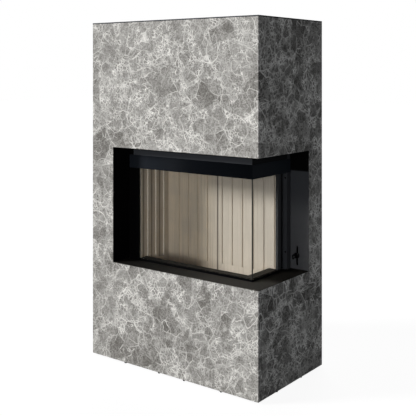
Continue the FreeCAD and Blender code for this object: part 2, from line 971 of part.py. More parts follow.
def door_cable_ends():
    return [cylinder(cable_end_radius, (s, t, shoe_top), (s, t, shoe_top + cable_end_height))
            for s, t in ((cable_left_s, cable_left_t), (cable_right_s, cable_right_t))]


# Lifting gear

def pulley(s, t):
    """Disc with a V groove, turned from one profile."""
    half = pulley_width / 2
    mouth = pulley_groove_width / 2
    root = cable_turn - pulley_root_drop
    profile = [(0, pulley_rim_radius), (half - mouth, pulley_rim_radius), (half, root),
               (half + mouth, pulley_rim_radius), (pulley_width, pulley_rim_radius)]
    return turned(profile, (s - half, t, pulley_level), (s + half, t, pulley_level))


def axle(s0, s1, t):
    return polygon_bar(axle_radius, round_sides, (s0, t, pulley_level), (s1, t, pulley_level))


def front_left_pulley():
    s0 = cable_left_s - pulley_width / 2 - pulley_side_gap
    s1 = cable_left_s + bar_offset - rest_gap
    return [joined([pulley(cable_left_s, left_pulley_t), axle(s0, s1, left_pulley_t)])]


def front_right_pulley():
    s0 = cable_right_s - bar_offset + rest_gap
    s1 = cable_right_s + pulley_width / 2 + pulley_side_gap
    return [joined([pulley(cable_right_s, right_pulley_t), axle(s0, s1, right_pulley_t)])]


def rear_pulley_shaft():
    s0 = cable_right_s - bar_offset + rest_gap
    s1 = cable_left_s + bar_offset - rest_gap
    return [joined([axle(s0, s1, rear_shaft_t), pulley(cable_right_s, rear_shaft_t),
                    pulley(cable_left_s, rear_shaft_t)])]


def hanger(s0, s1, front_t):
    """Plate with an ear round each axle, fixed to the side of a top bar."""
    strip = block(s0, s1, front_t - hanger_ear_radius, rear_shaft_t + hanger_ear_radius,
                  stone_top - tube_size - hanger_strip, stone_top)
    pieces = [strip]
    bores = []
    for t in (front_t, rear_shaft_t):
        pieces.append(polygon_bar(hanger_ear_radius, round_sides, (s0, t, pulley_level),
                                  (s1, t, pulley_level)))
        pieces.append(block(s0, s1, t - hanger_ear_radius, t + hanger_ear_radius, pulley_level, stone_top))
        bores.append(cylinder(axle_radius + axle_clear, (s0, t, pulley_level), (s1, t, pulley_level)))
    return cut_from(joined(pieces), bores)


def pulley_hangers():
    left0 = cable_left_s + hanger_offset
    right1 = cable_right_s - hanger_offset
    return [hanger(left0, left0 + hanger_thickness, left_pulley_t),
            hanger(right1 - hanger_thickness, right1, right_pulley_t)]


def top_cables():
    """Level runs with a quarter turn over the pulley at each end."""
    cables = []
    level = pulley_level + cable_turn
    for s, front_t in ((cable_left_s, left_pulley_t), (cable_right_s, right_pulley_t)):
        straight = bar_run((s, front_t, level), (s, rear_shaft_t, level))
        front = bent_bar(cable_turn, cable_radius, (s, front_t, pulley_level), quarter_turn, quarter_turn)
        rear = bent_bar(cable_turn, cable_radius, (s, rear_shaft_t, pulley_level), 0, quarter_turn)
        cables.append(joined([straight, front, rear]))
    return cables


def bar_run(start, end):
    """Straight run of cable."""
    return polygon_bar(cable_radius, bar_sides, start, end)


def front_cables():
    low = shoe_top + cable_end_height
    return [bar_run((s, t, low), (s, t, pulley_level))
            for s, t in ((cable_left_s, cable_left_t), (cable_right_s, cable_right_t))]


def rear_cables():
    low = weight_top + cable_end_height
    return [bar_run((s, weight_t, low), (s, weight_t, pulley_level))
            for s in (cable_left_s, cable_right_s)]


def counterweights():
    """Two bars bored for the guide rods, with the tie bar that keeps them level."""
    weights = []
    half = weight_thickness / 2
    low = weight_top - weight_height
    t0 = weight_t - half
    t1 = weight_t + half
    centers = []
    for cable_s, outward in ((cable_right_s, -1), (cable_left_s, 1)):
        middle = cable_s + outward * weight_offset
        centers.append(middle)
        rod_s = cable_s + outward * rod_offset
        bar = block(middle - weight_width / 2, middle + weight_width / 2, t0, t1, low, weight_top)
        upright = [edge for edge in bar.Edges
                   if abs(edge.Vertexes[0].Z - edge.Vertexes[-1].Z) > same_place]
        bar = bar.makeChamfer(weight_arris, upright)
        bore = cylinder(rod_radius + rod_clear, (rod_s, weight_t, low), (rod_s, weight_t, weight_top))
        end = cylinder(cable_end_radius, (cable_s, weight_t, weight_top),
                       (cable_s, weight_t, weight_top + cable_end_height))
        weights.append(joined([cut_from(bar, [bore]), end]))
    tie = block(centers[0] + weight_width / 2, centers[1] - weight_width / 2,
                weight_t - tie_thickness / 2, weight_t + tie_thickness / 2,
                low + tie_rise, low + tie_rise + tie_height)
    return [joined(weights[:1] + [tie] + weights[1:])]


def rod_places():
    return (cable_left_s + rod_offset, cable_right_s - rod_offset)


def guide_rods():
    low = stone_sill + cleat_thickness
    high = stone_top - tube_size - cleat_thickness
    return [cylinder(rod_radius, (s, weight_t, low), (s, weight_t, high)) for s in rod_places()]


def rod_stops():
    """Collars on the rods that catch the counterweights when the door is fully up."""
    top = weight_top - weight_height - lift_travel - rest_gap
    stops = []
    for s in rod_places():
        start = (s, weight_t, top - stop_height)
        end = (s, weight_t, top)
        stops.append(polygon_bar(stop_radius, round_sides, start, end).cut(cylinder(rod_radius, start, end)))
    return stops


def rod_cleats():
    """Flat brackets at both ends of the rods, on the sill bar and under the top bar."""
    cleats = []
    for s in rod_places():
        for low in (stone_sill, stone_top - tube_size - cleat_thickness):
            cleats.append(block(s - cleat_width / 2, s + cleat_width / 2, weight_t - cleat_nose,
                                frame_rear, low, low + cleat_thickness))
    return cleats


# Air supply and its control

def control_ring():
    """Ring handle on a stem with a rosette that covers the slot."""
    center = reveal_rear - ring_reach
    eye = polygon_ring(ring_radius, ring_wire_radius, (slot_inset, center, handle_level))
    rosette_back = reveal_rear - rosette_gap
    rosette_front = rosette_back - rosette_thickness
    rosette = turned([(0, rosette_radius - rosette_round), (rosette_round, rosette_radius),
                      (rosette_thickness, rosette_radius)],
                     (slot_inset, rosette_front, handle_level), (slot_inset, rosette_back, handle_level))
    stem = polygon_bar(stem_radius, bar_sides, (slot_inset, center + ring_radius, handle_level),
                       (slot_inset, gate_plane, handle_level))
    return [joined([rosette, stem, eye])]


def air_gate():
    """Cranked flat bar behind the panel with the blade of the damper."""
    t0 = gate_plane
    t1 = gate_plane + gate_thickness
    half_arm = gate_arm_width / 2
    cross_top = gate_cross_level + gate_arm_width
    arm = block(slot_inset - half_arm, slot_inset + half_arm, t0, t1, gate_cross_level,
                handle_level + gate_arm_over)
    cross = block(slot_inset - half_arm, air_center + half_arm, t0, t1, gate_cross_level, cross_top)
    blade_top = gate_cross_level - gate_neck_height
    neck = block(air_center - half_arm, air_center + half_arm, t0, t1, blade_top, gate_cross_level)
    half_blade = gate_blade_width / 2
    blade = block(air_center - half_blade, air_center + half_blade, t0, t1,
                  blade_top - gate_blade_height, blade_top)
    return [joined([arm, cross, neck, blade])]


def port_block(t0, t1):
    low = housing_low + port_rise
    return block(air_center - port_width / 2, air_center + port_width / 2, t0, t1, low, low + port_height)


def damper_housing():
    """Cast frame with the slide for the blade and the air port through it."""
    t0 = reveal_rear
    t1 = t0 + housing_depth
    half = housing_width / 2
    body = block(air_center - half, air_center + half, t0, t1, housing_low, housing_low + housing_height)
    slide_half = gate_blade_width / 2 + housing_slot_clear
    slide = block(air_center - slide_half, air_center + slide_half, gate_plane - housing_slot_clear,
                  gate_plane + gate_thickness + housing_slot_clear, housing_low + housing_foot,
                  housing_low + housing_height)
    return [cut_from(body, [slide, port_block(t0, t1)])]


def air_box():
    """Sheet duct from the damper to the hole in the body floor."""
    half = housing_width / 2
    w = air_box_sheet
    outer = block(air_center - half, air_center + half, air_box_front, reveal_rear, housing_low,
                  floor_under)
    inner = block(air_center - half + w, air_center + half - w, air_box_front + w, reveal_rear - w,
                  housing_low + w, floor_under)
    return [cut_from(outer, [inner, port_block(reveal_rear - w, reveal_rear)])]


def air_inlet_collar():
    start = (air_center, reveal_rear + housing_depth, inlet_level)
    end = (air_center, casing_depth, inlet_level)
    return [ring(inlet_radius, inlet_radius - inlet_wall, start, end)]


nodes = [
    front_lower_slab, front_upper_slab, right_lower_slab, right_upper_slab, left_lower_slab,
    left_upper_slab, back_sheet, top_plate, base_frame, corner_posts, sill_rails, lintel_rails,
    top_rails, levelling_feet, slab_clips, sill_plates, soffit_plates, left_reveal, rear_reveal,
    fascia, header_band, left_guide_cover, left_guide_rail, right_channel, channel_screws,
    ledge_frame, body_shell, back_panel_right, back_panel_left, left_panel, hearth_stones,
    smoke_dome, baffle_plate, flue_collar, insert_stand, front_glass, side_glass, glass_seam,
    door_top_rail, door_bottom_rail, door_left_stile, door_rear_stile, guide_shoes,
    door_cable_ends, front_left_pulley, front_right_pulley, rear_pulley_shaft, pulley_hangers,
    top_cables, front_cables, rear_cables, counterweights, guide_rods, rod_stops, rod_cleats, control_ring,
    air_gate, damper_housing, air_box, air_inlet_collar,
]

for node in nodes:
    save(node.__name__, node())
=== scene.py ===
import json
import math

import bpy
from bpy.props import FloatProperty, FloatVectorProperty, PointerProperty
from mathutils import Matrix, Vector


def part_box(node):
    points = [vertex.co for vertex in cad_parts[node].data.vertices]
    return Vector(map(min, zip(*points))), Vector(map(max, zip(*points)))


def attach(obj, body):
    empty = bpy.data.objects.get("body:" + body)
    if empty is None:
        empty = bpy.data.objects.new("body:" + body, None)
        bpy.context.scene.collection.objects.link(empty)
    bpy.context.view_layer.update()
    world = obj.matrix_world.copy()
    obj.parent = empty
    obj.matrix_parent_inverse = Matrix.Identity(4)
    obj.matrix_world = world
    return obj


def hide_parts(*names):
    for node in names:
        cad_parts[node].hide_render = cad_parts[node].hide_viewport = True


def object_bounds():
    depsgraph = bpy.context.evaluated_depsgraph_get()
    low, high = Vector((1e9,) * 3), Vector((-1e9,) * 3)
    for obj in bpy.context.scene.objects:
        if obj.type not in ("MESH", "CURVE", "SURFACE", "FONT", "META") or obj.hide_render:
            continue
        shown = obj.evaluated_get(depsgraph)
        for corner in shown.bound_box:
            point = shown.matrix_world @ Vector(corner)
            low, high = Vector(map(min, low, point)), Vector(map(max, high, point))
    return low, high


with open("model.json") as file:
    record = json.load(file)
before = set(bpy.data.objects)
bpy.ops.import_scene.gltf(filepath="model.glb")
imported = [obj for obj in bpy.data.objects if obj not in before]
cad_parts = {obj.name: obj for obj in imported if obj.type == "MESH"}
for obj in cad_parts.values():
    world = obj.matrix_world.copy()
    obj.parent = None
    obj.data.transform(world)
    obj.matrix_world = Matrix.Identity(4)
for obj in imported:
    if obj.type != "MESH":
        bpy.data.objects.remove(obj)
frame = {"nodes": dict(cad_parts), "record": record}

bl_info = {
    "name": "Corner fireplace",
    "version": (1, 0, 0),
    "blender": (4, 5, 0),
    "location": "View3D > Sidebar > Fireplace",
    "description": "Dresses the corner fireplace with its stone, steel, glass and lining",
    "category": "Object",
}

MM = 0.001
QUARTER_TURN = math.radians(90)
SMOOTH_ANGLE = math.radians(35)
BEVEL_ANGLE = math.radians(40)
FLAT_ANGLE = math.radians(1)
WELD = 0.01 * MM
FACING = 0.9  # least part of a normal along the axis that its face looks along
ACROSS = 0.1  # greatest part of a normal along an axis that its face runs along

# Places of the frame
CAD_LOW, CAD_HIGH = [Vector(corner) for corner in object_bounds()]
BODIES = frame["record"]["behaviour"]["bodies"]

STONE_NODES = ("front_upper_slab", "front_lower_slab", "right_upper_slab", "right_lower_slab",
               "left_upper_slab", "left_lower_slab")
SHADE_NODES = ("left_reveal", "left_guide_cover", "left_guide_rail", "door_bottom_rail")
SATIN_NODES = ("right_channel", "door_top_rail", "door_left_stile", "door_rear_stile", "guide_shoes")
LINING_NODES = ("back_panel_left", "back_panel_right", "left_panel", "hearth_stones")
BODY_NODES = ("body_shell", "smoke_dome", "flue_collar")
GALVANISED_NODES = ("back_sheet", "base_frame", "corner_posts", "sill_rails", "lintel_rails", "top_rails",
                    "slab_clips", "insert_stand", "air_box", "air_inlet_collar", "pulley_hangers",
                    "rod_cleats", "rod_stops")
TURNED_NODES = ("front_left_pulley", "front_right_pulley", "rear_pulley_shaft", "door_cable_ends")
CABLE_NODES = ("top_cables", "front_cables", "rear_cables")
CAST_NODES = ("counterweights", "damper_housing")

# Settings that shading nodes share: soft ends of a range, and a mix of colours.
# A mix takes its share at input 0, numbers at 2 and 3, and colours at 6 and 7.
SOFT = {"interpolation_type": "SMOOTHSTEP"}
TINTS = {"out": 2, "data_type": "RGBA"}

# Marble: sizes are shares of the vein spacing where they aren't in mm
WIDE_SWAY_MM = 190.0
SWAY_ROWS = ((30.0, 0.2, 4.0), (11.0, 0.1, 3.0))  # mm, share of the sway, detail
STONE_ROWS = ((0.9, 0.1, -0.3, 0.8), (0.42, 0.1, -0.2, 0.75))  # size, shares of glow, shade and line
STONE_LINE_MM = 2.4
STONE_ZONE_SHARE = 1.3
CALM_SHARE = 0.35
NET_ROWS = ((0.36, 2.2), (0.26, 2.0), (0.18, 1.9), (0.12, 1.7))  # size, width in mm
NET_SHIFT_SHARES = (7.3, 4.38, -7.3)
NET_ZONE_SHARE = 2.6
HAIRLINE_ROWS = ((420.0, 2.0, 0.003, 1.0), (230.0, 3.0, 0.006, 0.9))  # mm, detail, width, share
HAIRLINE_ZONE_SHARE = 0.7
CRUSHED_MM = 110.0
MILK_MM = 60.0

# Grain of the other finishes in mm
PEEL_MM = 3.0
SOIL_MM = 120.0
ENAMEL_WAVE_MM = 40.0
SAND_MM = 1.6
FLECK_MM = 4.0
STREAK_MM = 7.0
CLAY_CLOUD_MM = 90.0
SPANGLE_MM = 12.0
TURNING_MM = 1.2
STRAND_MM = 6.0
PIT_MM = 2.5
RUB_MM = 8.0
LUMP_MM = 12.0
FLAKE_MM = 3.0
WAVES_IN_TEXTURE = 20  # waves in one unit of the wave texture


def srgb(text):
    """Linear colour from a hex one."""
    channels = [int(text[at:at + 2], 16) / 255 for at in (1, 3, 5)]
    return tuple((c / 12.92 if c <= 0.04045 else ((c + 0.055) / 1.055) ** 2.4) for c in channels)


def rgba(colour, share=1.0):
    """Colour with full cover, made darker or lighter by a share."""
    return (*[part * share for part in colour], 1.0)


def feed(tree, node, links):
    """Links or sets a node's inputs, given by name or number, or in their order."""
    if not isinstance(links, dict):
        links = dict(enumerate(links))
    for socket, value in links.items():
        if isinstance(value, bpy.types.NodeSocket):
            tree.links.new(value, node.inputs[socket])
        else:
            node.inputs[socket].default_value = value


def put(tree, kind, links=(), out=0, **settings):
    """Adds a node with its settings and links, and gives one of its outputs."""
    node = tree.nodes.new("ShaderNode" + kind)
    for name, value in settings.items():
        setattr(node, name, value)
    feed(tree, node, links)
    return node.outputs[out]


def blank_material(name):
    """New material with its tree, its shader and the object's coordinates."""
    material = bpy.data.materials.new(name)
    material.use_nodes = True
    tree = material.node_tree
    return material, tree, tree.nodes["Principled BSDF"], put(tree, "TexCoord", out="Object")


def per_metre(size_mm):
    """Texture scale that gives a feature of this size."""
    return 1 / (size_mm * MM)


# Patterns

def fade(tree, place, axis, low, high, to_low=0.0, to_high=1.0):
    """Value that changes softly between two places along one axis."""
    at = put(tree, "SeparateXYZ", (place,), axis)
    return put(tree, "MapRange", (at, low, high, to_low, to_high), **SOFT)


def distance(tree, value, middle):
    """How far a value is from another."""
    off = put(tree, "Math", (value, middle), operation="SUBTRACT")
    return put(tree, "Math", (off,), operation="ABSOLUTE")


def spread_noise(tree, place, size_mm, detail, low, high, to_low=0.0, to_high=1.0):
    """Soft patches where a noise passes between two levels."""
    noise = put(tree, "TexNoise", {"Vector": place, "Scale": per_metre(size_mm), "Detail": detail})
    return put(tree, "MapRange", (noise, low, high, to_low, to_high), **SOFT)


def in_zones(tree, line, place, size_mm, detail, low, high, share=1.0):
    """Keeps a line to soft zones."""
    zone = spread_noise(tree, place, size_mm, detail, low, high, to_high=share)
    return put(tree, "Math", (line, zone), operation="MULTIPLY")


def cracks(tree, place, size_mm, width_mm):
    """Distance to the edges of broken pieces, and the line along those edges."""
    links = {"Vector": place, "Scale": per_metre(size_mm)}
    edge = put(tree, "TexVoronoi", links, feature="DISTANCE_TO_EDGE")
    return edge, put(tree, "MapRange", (edge, 0.0, width_mm / size_mm, 1.0, 0.0), **SOFT)


def stone_pieces(tree, place, size_mm, width_mm):
    """Broken pieces of stone: the glow along their edges, the line between them and a shade for each."""
    glow_reach, dark_from, dark_to = 0.3, 0.6, 0.95
    edge, line = cracks(tree, place, size_mm, width_mm)
    glow = put(tree, "MapRange", (edge, 0.0, glow_reach, 1.0, 0.0), **SOFT)
    cell = put(tree, "TexVoronoi", {"Vector": place, "Scale": per_metre(size_mm)}, "Color")
    shade = put(tree, "SeparateColor", (cell,), "Red")
    return glow, line, put(tree, "MapRange", (shade, dark_from, dark_to), **SOFT)


def vein_net(tree, place, size_mm, width_mm):
    """Net of straight veins that shows in some zones only."""
    shift = [share * size_mm * MM for share in NET_SHIFT_SHARES]
    moved = put(tree, "VectorMath", (place, shift))
    line = cracks(tree, moved, size_mm, width_mm)[1]
    return in_zones(tree, line, moved, size_mm * NET_ZONE_SHARE, detail=4.0, low=0.47, high=0.58)


def swayed_place(tree, place, size_mm, reach_mm, detail):
    """Coordinates pushed about by a noise."""
    middle = (0.5, 0.5, 0.5)
    sway = put(tree, "TexNoise", {"Vector": place, "Scale": per_metre(size_mm), "Detail": detail}, "Color")
    sway = put(tree, "VectorMath", (sway, middle), operation="SUBTRACT")
    sway = put(tree, "VectorMath", {0: sway, "Scale": reach_mm * MM}, operation="SCALE")
    return put(tree, "VectorMath", (place, sway))


def hairline(tree, place, size_mm, detail, width):
    """Thin wandering lines where a noise crosses its middle."""
    middle = 0.5
    links = {"Vector": place, "Scale": per_metre(size_mm), "Detail": detail, "Roughness": 0.55}
    off = distance(tree, put(tree, "TexNoise", links), middle)
    return put(tree, "MapRange", (off, 0.0, width, 1.0, 0.0), **SOFT)


# Materials

def finish(tree, surface, links, height=None, depth_mm=0.0, strength=1.0):
    """Feeds the shader, with a relief of this depth where the finish has one."""
    feed(tree, surface, links)
    if height is not None:
        relief = {"Height": height, "Distance": depth_mm * MM, "Strength": strength}
        feed(tree, surface, {"Normal": put(tree, "Bump", relief)})


def coat(tree, surface, place, links):
    """Feeds the shader of a powder coat, with its faint orange-peel."""
    peel = put(tree, "TexNoise", {"Vector": place, "Scale": per_metre(PEEL_MM), "Detail": 2.0})
    finish(tree, surface, links, peel, depth_mm=0.03, strength=0.5)


def shaded_stone_colour(colour, share, depth):
    """Stone colour with a share of its brightness, cooler with the depth of its painted shade."""
    red, green, blue = colour
    less_red, more_blue = depth * 0.05, depth * 0.08
    return rgba((red * (1 - less_red), green, blue * (1 + more_blue)), share)


def honed_marble(name, look, depth):
    """Grey marble, sawn and honed: matt, broken into calm grey pieces laced with nets of white calcite."""
    material, tree, surface, place = blank_material(name)
    wide = near = swayed_place(tree, place, WIDE_SWAY_MM, look.sway_mm, detail=2.0)
    for size_mm, share, detail in SWAY_ROWS:
        near = swayed_place(tree, near, size_mm, look.sway_mm * share, detail)
    tone = spread_noise(tree, wide, look.cloud_mm, detail=3.0, low=0.3, high=0.7, to_low=0.35,
                        to_high=0.55)
    crushed = spread_noise(tree, wide, CRUSHED_MM, detail=5.0, low=0.38, high=0.56, to_low=0.4)
    # A depth above nought makes the shaded copy for the right slabs, which is painted shade: wider veins
    # here, and darker, cooler colours below
    wider = 1 + depth * look.widening
    veins = 0.0
    for size, glow_share, shade_share, line_share in STONE_ROWS:
        size_mm = look.vein_mm * size
        glow, line, shade = stone_pieces(tree, near, size_mm, STONE_LINE_MM * wider)
        for part, share in ((glow, glow_share), (shade, shade_share)):
            tone = put(tree, "Math", (part, share, tone), operation="MULTIPLY_ADD")
        calm = put(tree, "MapRange", (shade, 0.0, 1.0, 1.0, CALM_SHARE), **SOFT)
        crushed = put(tree, "Math", (crushed, calm), operation="MULTIPLY")
        line = in_zones(tree, line, place, size_mm * STONE_ZONE_SHARE, detail=5.0, low=0.46, high=0.6,
                        share=line_share)
        veins = put(tree, "Math", (veins, line), operation="MAXIMUM")
    nets = [vein_net(tree, near, look.vein_mm * size, width_mm * wider) for size, width_mm in NET_ROWS]
    nets.append(spread_noise(tree, near, MILK_MM, detail=10.0, low=0.56, high=0.72, to_high=0.65))
    for net in nets:
        net = put(tree, "Math", (net, crushed), operation="MULTIPLY")
        veins = put(tree, "Math", (veins, net), operation="MAXIMUM")
    for size_mm, detail, width, share in HAIRLINE_ROWS:
        line = hairline(tree, wide, size_mm, detail, width)
        line = in_zones(tree, line, place, size_mm * HAIRLINE_ZONE_SHARE, detail=4.0, low=0.46,
                        high=0.62, share=share)
        veins = put(tree, "Math", (veins, line), operation="MAXIMUM")
    grain = spread_noise(tree, near, look.grain_mm, detail=8.0, low=0.36, high=0.64, to_low=-0.2,
                         to_high=0.35)
    tone = put(tree, "Math", (tone, grain), operation="ADD")
    dark = shaded_stone_colour(look.dark, 1 - depth, depth)
    light = shaded_stone_colour(look.light, 1 - depth / 2, depth)
    vein = shaded_stone_colour(look.vein, 1 + depth / 4, depth)
    tone = put(tree, "Mix", {0: tone, 6: dark, 7: light}, **TINTS)
    tone = put(tree, "Mix", {0: veins, 6: tone, 7: vein}, **TINTS)
    finish(tree, surface, {"Base Color": tone, "Roughness": 0.55, "Specular IOR Level": 0.2}, grain,
           depth_mm=0.05, strength=0.3)
    return material


def powder_coat(name, colour, roughness, specular):
    """Steel sheet, folded and powder-coated: satin black with a faint orange-peel."""
    material, tree, surface, place = blank_material(name)
    soiled_share, smoother, rougher = 0.82, 0.9, 1.1
    clean = spread_noise(tree, place, SOIL_MM, detail=3.0, low=0.3, high=0.7)
    tone = put(tree, "Mix", {0: clean, 6: rgba(colour, soiled_share), 7: rgba(colour)}, **TINTS)
    rough = put(tree, "Mix", {0: clean, 2: roughness * smoother, 3: roughness * rougher})
    coat(tree, surface, place, {"Base Color": tone, "Roughness": rough, "Specular IOR Level": specular})
    return material


def fascia_coat(look):
    """Satin black powder coat, painted lighter on the front run as painted light, and painted near-black
    and made matt on the right run behind the header as painted shade.
    """
    material, tree, surface, place = blank_material("satin black coat of the fascia")
    blur, lit_run_share, shaded_run_share = 1.0 * MM, 1.4, 0.3
    # Painted light and shade: the front run takes a brightened satin, the right run a near-black copy
    matt = fade(tree, place, "X", look.shade_side - blur, look.shade_side + blur)
    satin, dull = rgba(look.satin, lit_run_share), rgba(look.satin, shaded_run_share)
    tone = put(tree, "Mix", {0: matt, 6: satin, 7: dull}, **TINTS)
    rough = put(tree, "MapRange", (matt, 0.0, 1.0, 0.5, 0.9), **SOFT)
    coat(tree, surface, place, {"Base Color": tone, "Roughness": rough, "Specular IOR Level": 0.1})
    return material


def sill_coat(name, look, rear_shade_share):
    """Grained black powder coat, rough; paler at the open corner, and deeper black towards the rear and the
    left, which is painted shade.
    """
    material, tree, surface, place = blank_material(name)
    left_shade_share, shade_tone_share = 0.85, 0.15
    # Painted shade: darker towards the rear reveal and towards the left end
    rear = fade(tree, place, "Y", look.no_shade_front, look.full_shade_rear, 0.0, rear_shade_share)
    left = fade(tree, place, "X", look.full_shade_left, look.no_shade_right, left_shade_share, 0.0)
    deep = put(tree, "Math", (rear, left), operation="MAXIMUM")
    tone = put(tree, "Mix", {0: deep, 6: rgba(look.sill), 7: rgba(look.sill, shade_tone_share)}, **TINTS)
    coat(tree, surface, place, {"Base Color": tone, "Roughness": 0.8, "Specular IOR Level": 0.02})
    return material


def reveal_coat(look):
    """Satin black powder coat, painted paler towards the sill as painted light, and painted black and made
    matt above the foot of the header as painted shade.
    """
    material, tree, surface, place = blank_material("satin black coat of the rear reveal")
    blur, black = 4.0 * MM, rgba((0, 0, 0))
    # Painted light: paler towards the sill, where light comes in through the glass. Painted shade: black
    # above the foot of the header.
    painted_light = fade(tree, place, "Z", look.painted_light_low, look.painted_light_high, 1.0, 0.0)
    matt = fade(tree, place, "Z", look.shade_level - blur, look.shade_level + blur)
    tone = put(tree, "Mix", {0: painted_light, 6: rgba(look.satin), 7: rgba(look.painted_light)}, **TINTS)
    tone = put(tree, "Mix", {0: matt, 6: tone, 7: black}, **TINTS)
    rough = put(tree, "MapRange", (matt, 0.0, 1.0, 0.5, 1.0), **SOFT)
    coat(tree, surface, place, {"Base Color": tone, "Roughness": rough, "Specular IOR Level": 0.1})
    return material


def black_enamel(look):
    """Fired black enamel on steel: blue-black, soft sheen, very slightly wavy."""
    material, tree, surface, place = blank_material("black enamel")
    pale_share = 1.15
    wave = put(tree, "TexNoise", {"Vector": place, "Scale": per_metre(ENAMEL_WAVE_MM), "Detail": 1.0})
    tone = put(tree, "Mix", {0: wave, 6: rgba(look.enamel), 7: rgba(look.enamel, pale_share)}, **TINTS)
    finish(tree, surface, {"Base Color": tone, "Roughness": 0.5, "Specular IOR Level": 0.06}, wave,
           depth_mm=0.02, strength=0.1)
    return material


def joint_soot(tree, place, look):
    """Soot in the joint of the back."""
    full_to, none_from, share = 2.0 * MM, 7.0 * MM, 0.85
    off = distance(tree, put(tree, "SeparateXYZ", (place,), "X"), look.joint_place)
    return put(tree, "MapRange", (off, full_to, none_from, share, 0.0), **SOFT)


def lee_shade(tree, place, look):
    """Painted shade on the floor of each flute, in the lee of the rib before it."""
    full_to, none_from, share = 13.0 * MM, 21.0 * MM, 0.6
    floor_to, floor_from = 6.0 * MM, 2.0 * MM
    low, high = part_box("left_panel")
    along = put(tree, "SeparateXYZ", (place,), "Y")
    behind = put(tree, "Math", (along, low[1] + look.rib_end), operation="SUBTRACT")
    behind = put(tree, "Math", (behind, look.rib_pitch), operation="MODULO")
    lee = put(tree, "MapRange", (behind, full_to, none_from, share, 0.0), **SOFT)
    floor = fade(tree, place, "X", high[0] - floor_to, high[0] - floor_from, 1.0, 0.0)
    return put(tree, "Math", (lee, floor), operation="MULTIPLY")


def fireclay(name, look, shade_tint, soot_and_shade_in, front_lit_share):
    """Pressed fireclay with vermiculite: cream, dead matt, sandy, streaked. A warm tint is painted over the
    left end as painted light and shade, faces that look to the front are painted paler as painted light,
    and the given pattern darkens it: soot in the back's joint, painted shade in the flutes of the left
    panel."""
    material, tree, surface, place = blank_material(name)
    drawn_out = (1, 1, 0.02)
    fleck_core, fleck_rim, fleck_share = 0.05, 0.3, 0.35
    facing_all, facing_none = -0.9, -0.5
    drawn = put(tree, "VectorMath", (place, drawn_out), operation="MULTIPLY")
    fleck = put(tree, "TexVoronoi", {"Vector": place, "Scale": per_metre(FLECK_MM)})
    normal = put(tree, "NewGeometry", out="Normal")
    layers = (
        # Painted light and shade: a warm tint over the shaded left end, lighter on the back and darker on
        # the left panel
        (fade(tree, place, "X", look.shade_tint_from, look.shade_tint_to, 1.0, 0.0), shade_tint),
        (spread_noise(tree, place, CLAY_CLOUD_MM, detail=3.0, low=0.3, high=0.7, to_low=0.4, to_high=0.0),
         look.clay_shade),
        (spread_noise(tree, drawn, STREAK_MM, detail=3.0, low=0.4, high=0.75, to_high=0.45),
         look.clay_fleck),
        (put(tree, "MapRange", (fleck, fleck_core, fleck_rim, fleck_share, 0.0), **SOFT), look.clay_fleck),
        # Painted light: faces that look to the front turn paler
        (fade(tree, normal, "Y", facing_all, facing_none, front_lit_share, 0.0), look.clay_front_lit),
        (soot_and_shade_in(tree, place, look), look.soot_and_shade),
    )
    tone = rgba(look.clay)
    for share, colour in layers:
        tone = put(tree, "Mix", {0: share, 6: tone, 7: rgba(colour)}, **TINTS)
    sand = put(tree, "TexNoise", {"Vector": place, "Scale": per_metre(SAND_MM), "Detail": 3.0})
    finish(tree, surface, {"Base Color": tone, "Roughness": 0.9, "Specular IOR Level": 0.2}, sand,
           depth_mm=0.15, strength=0.5)
    return material


def galvanised_sheet():
    """Hot-dip galvanised steel: pale grey with a soft spangle of zinc crystals."""
    material, tree, surface, place = blank_material("galvanised steel")
    cell = put(tree, "TexVoronoi", {"Vector": place, "Scale": per_metre(SPANGLE_MM)}, "Color")
    spangle = put(tree, "SeparateColor", (cell,), "Green")
    tone = put(tree, "Mix", {0: spangle, 6: rgba(srgb("#9a9da0")), 7: rgba(srgb("#b4b7ba"))}, **TINTS)
    rough = put(tree, "MapRange", (spangle, 0.0, 1.0, 0.35, 0.5), **SOFT)
    finish(tree, surface, {"Base Color": tone, "Roughness": rough, "Metallic": 0.85})
    return material


def turned_steel():
    """Bright steel, turned and drawn: fine rings and lines across the length."""
    material, tree, surface, place = blank_material("turned steel")
    lines = put(tree, "TexNoise", {"Vector": place, "Scale": per_metre(TURNING_MM), "Detail": 1.0})
    tone = put(tree, "Mix", {0: lines, 6: rgba(srgb("#8d9092")), 7: rgba(srgb("#c2c4c6"))}, **TINTS)
    finish(tree, surface, {"Base Color": tone, "Roughness": 0.3, "Metallic": 1.0}, lines,
           depth_mm=0.01, strength=0.3)
    return material


def wire_rope():
    """Steel wire rope, laid from strands: short bright and dark bars along it."""
    material, tree, surface, place = blank_material("steel wire rope")
    waves = per_metre(STRAND_MM) / WAVES_IN_TEXTURE
    lay = put(tree, "TexWave", {"Vector": place, "Scale": waves}, "Fac", bands_direction="DIAGONAL")
    tone = put(tree, "Mix", {0: lay, 6: rgba(srgb("#4c4e50")), 7: rgba(srgb("#a9abad"))}, **TINTS)
    finish(tree, surface, {"Base Color": tone, "Roughness": 0.4, "Metallic": 0.9}, lay,
           depth_mm=0.2, strength=0.6)
    return material


def cast_iron():
    """Grey iron, sand-cast and blacked: dull and lightly pitted."""
    material, tree, surface, place = blank_material("blacked cast iron")
    pits = put(tree, "TexNoise", {"Vector": place, "Scale": per_metre(PIT_MM), "Detail": 4.0})
    tone = put(tree, "Mix", {0: pits, 6: rgba(srgb("#1c1c1d")), 7: rgba(srgb("#343536"))}, **TINTS)
    finish(tree, surface, {"Base Color": tone, "Roughness": 0.65, "Metallic": 0.3}, pits,
           depth_mm=0.2, strength=0.6)
    return material


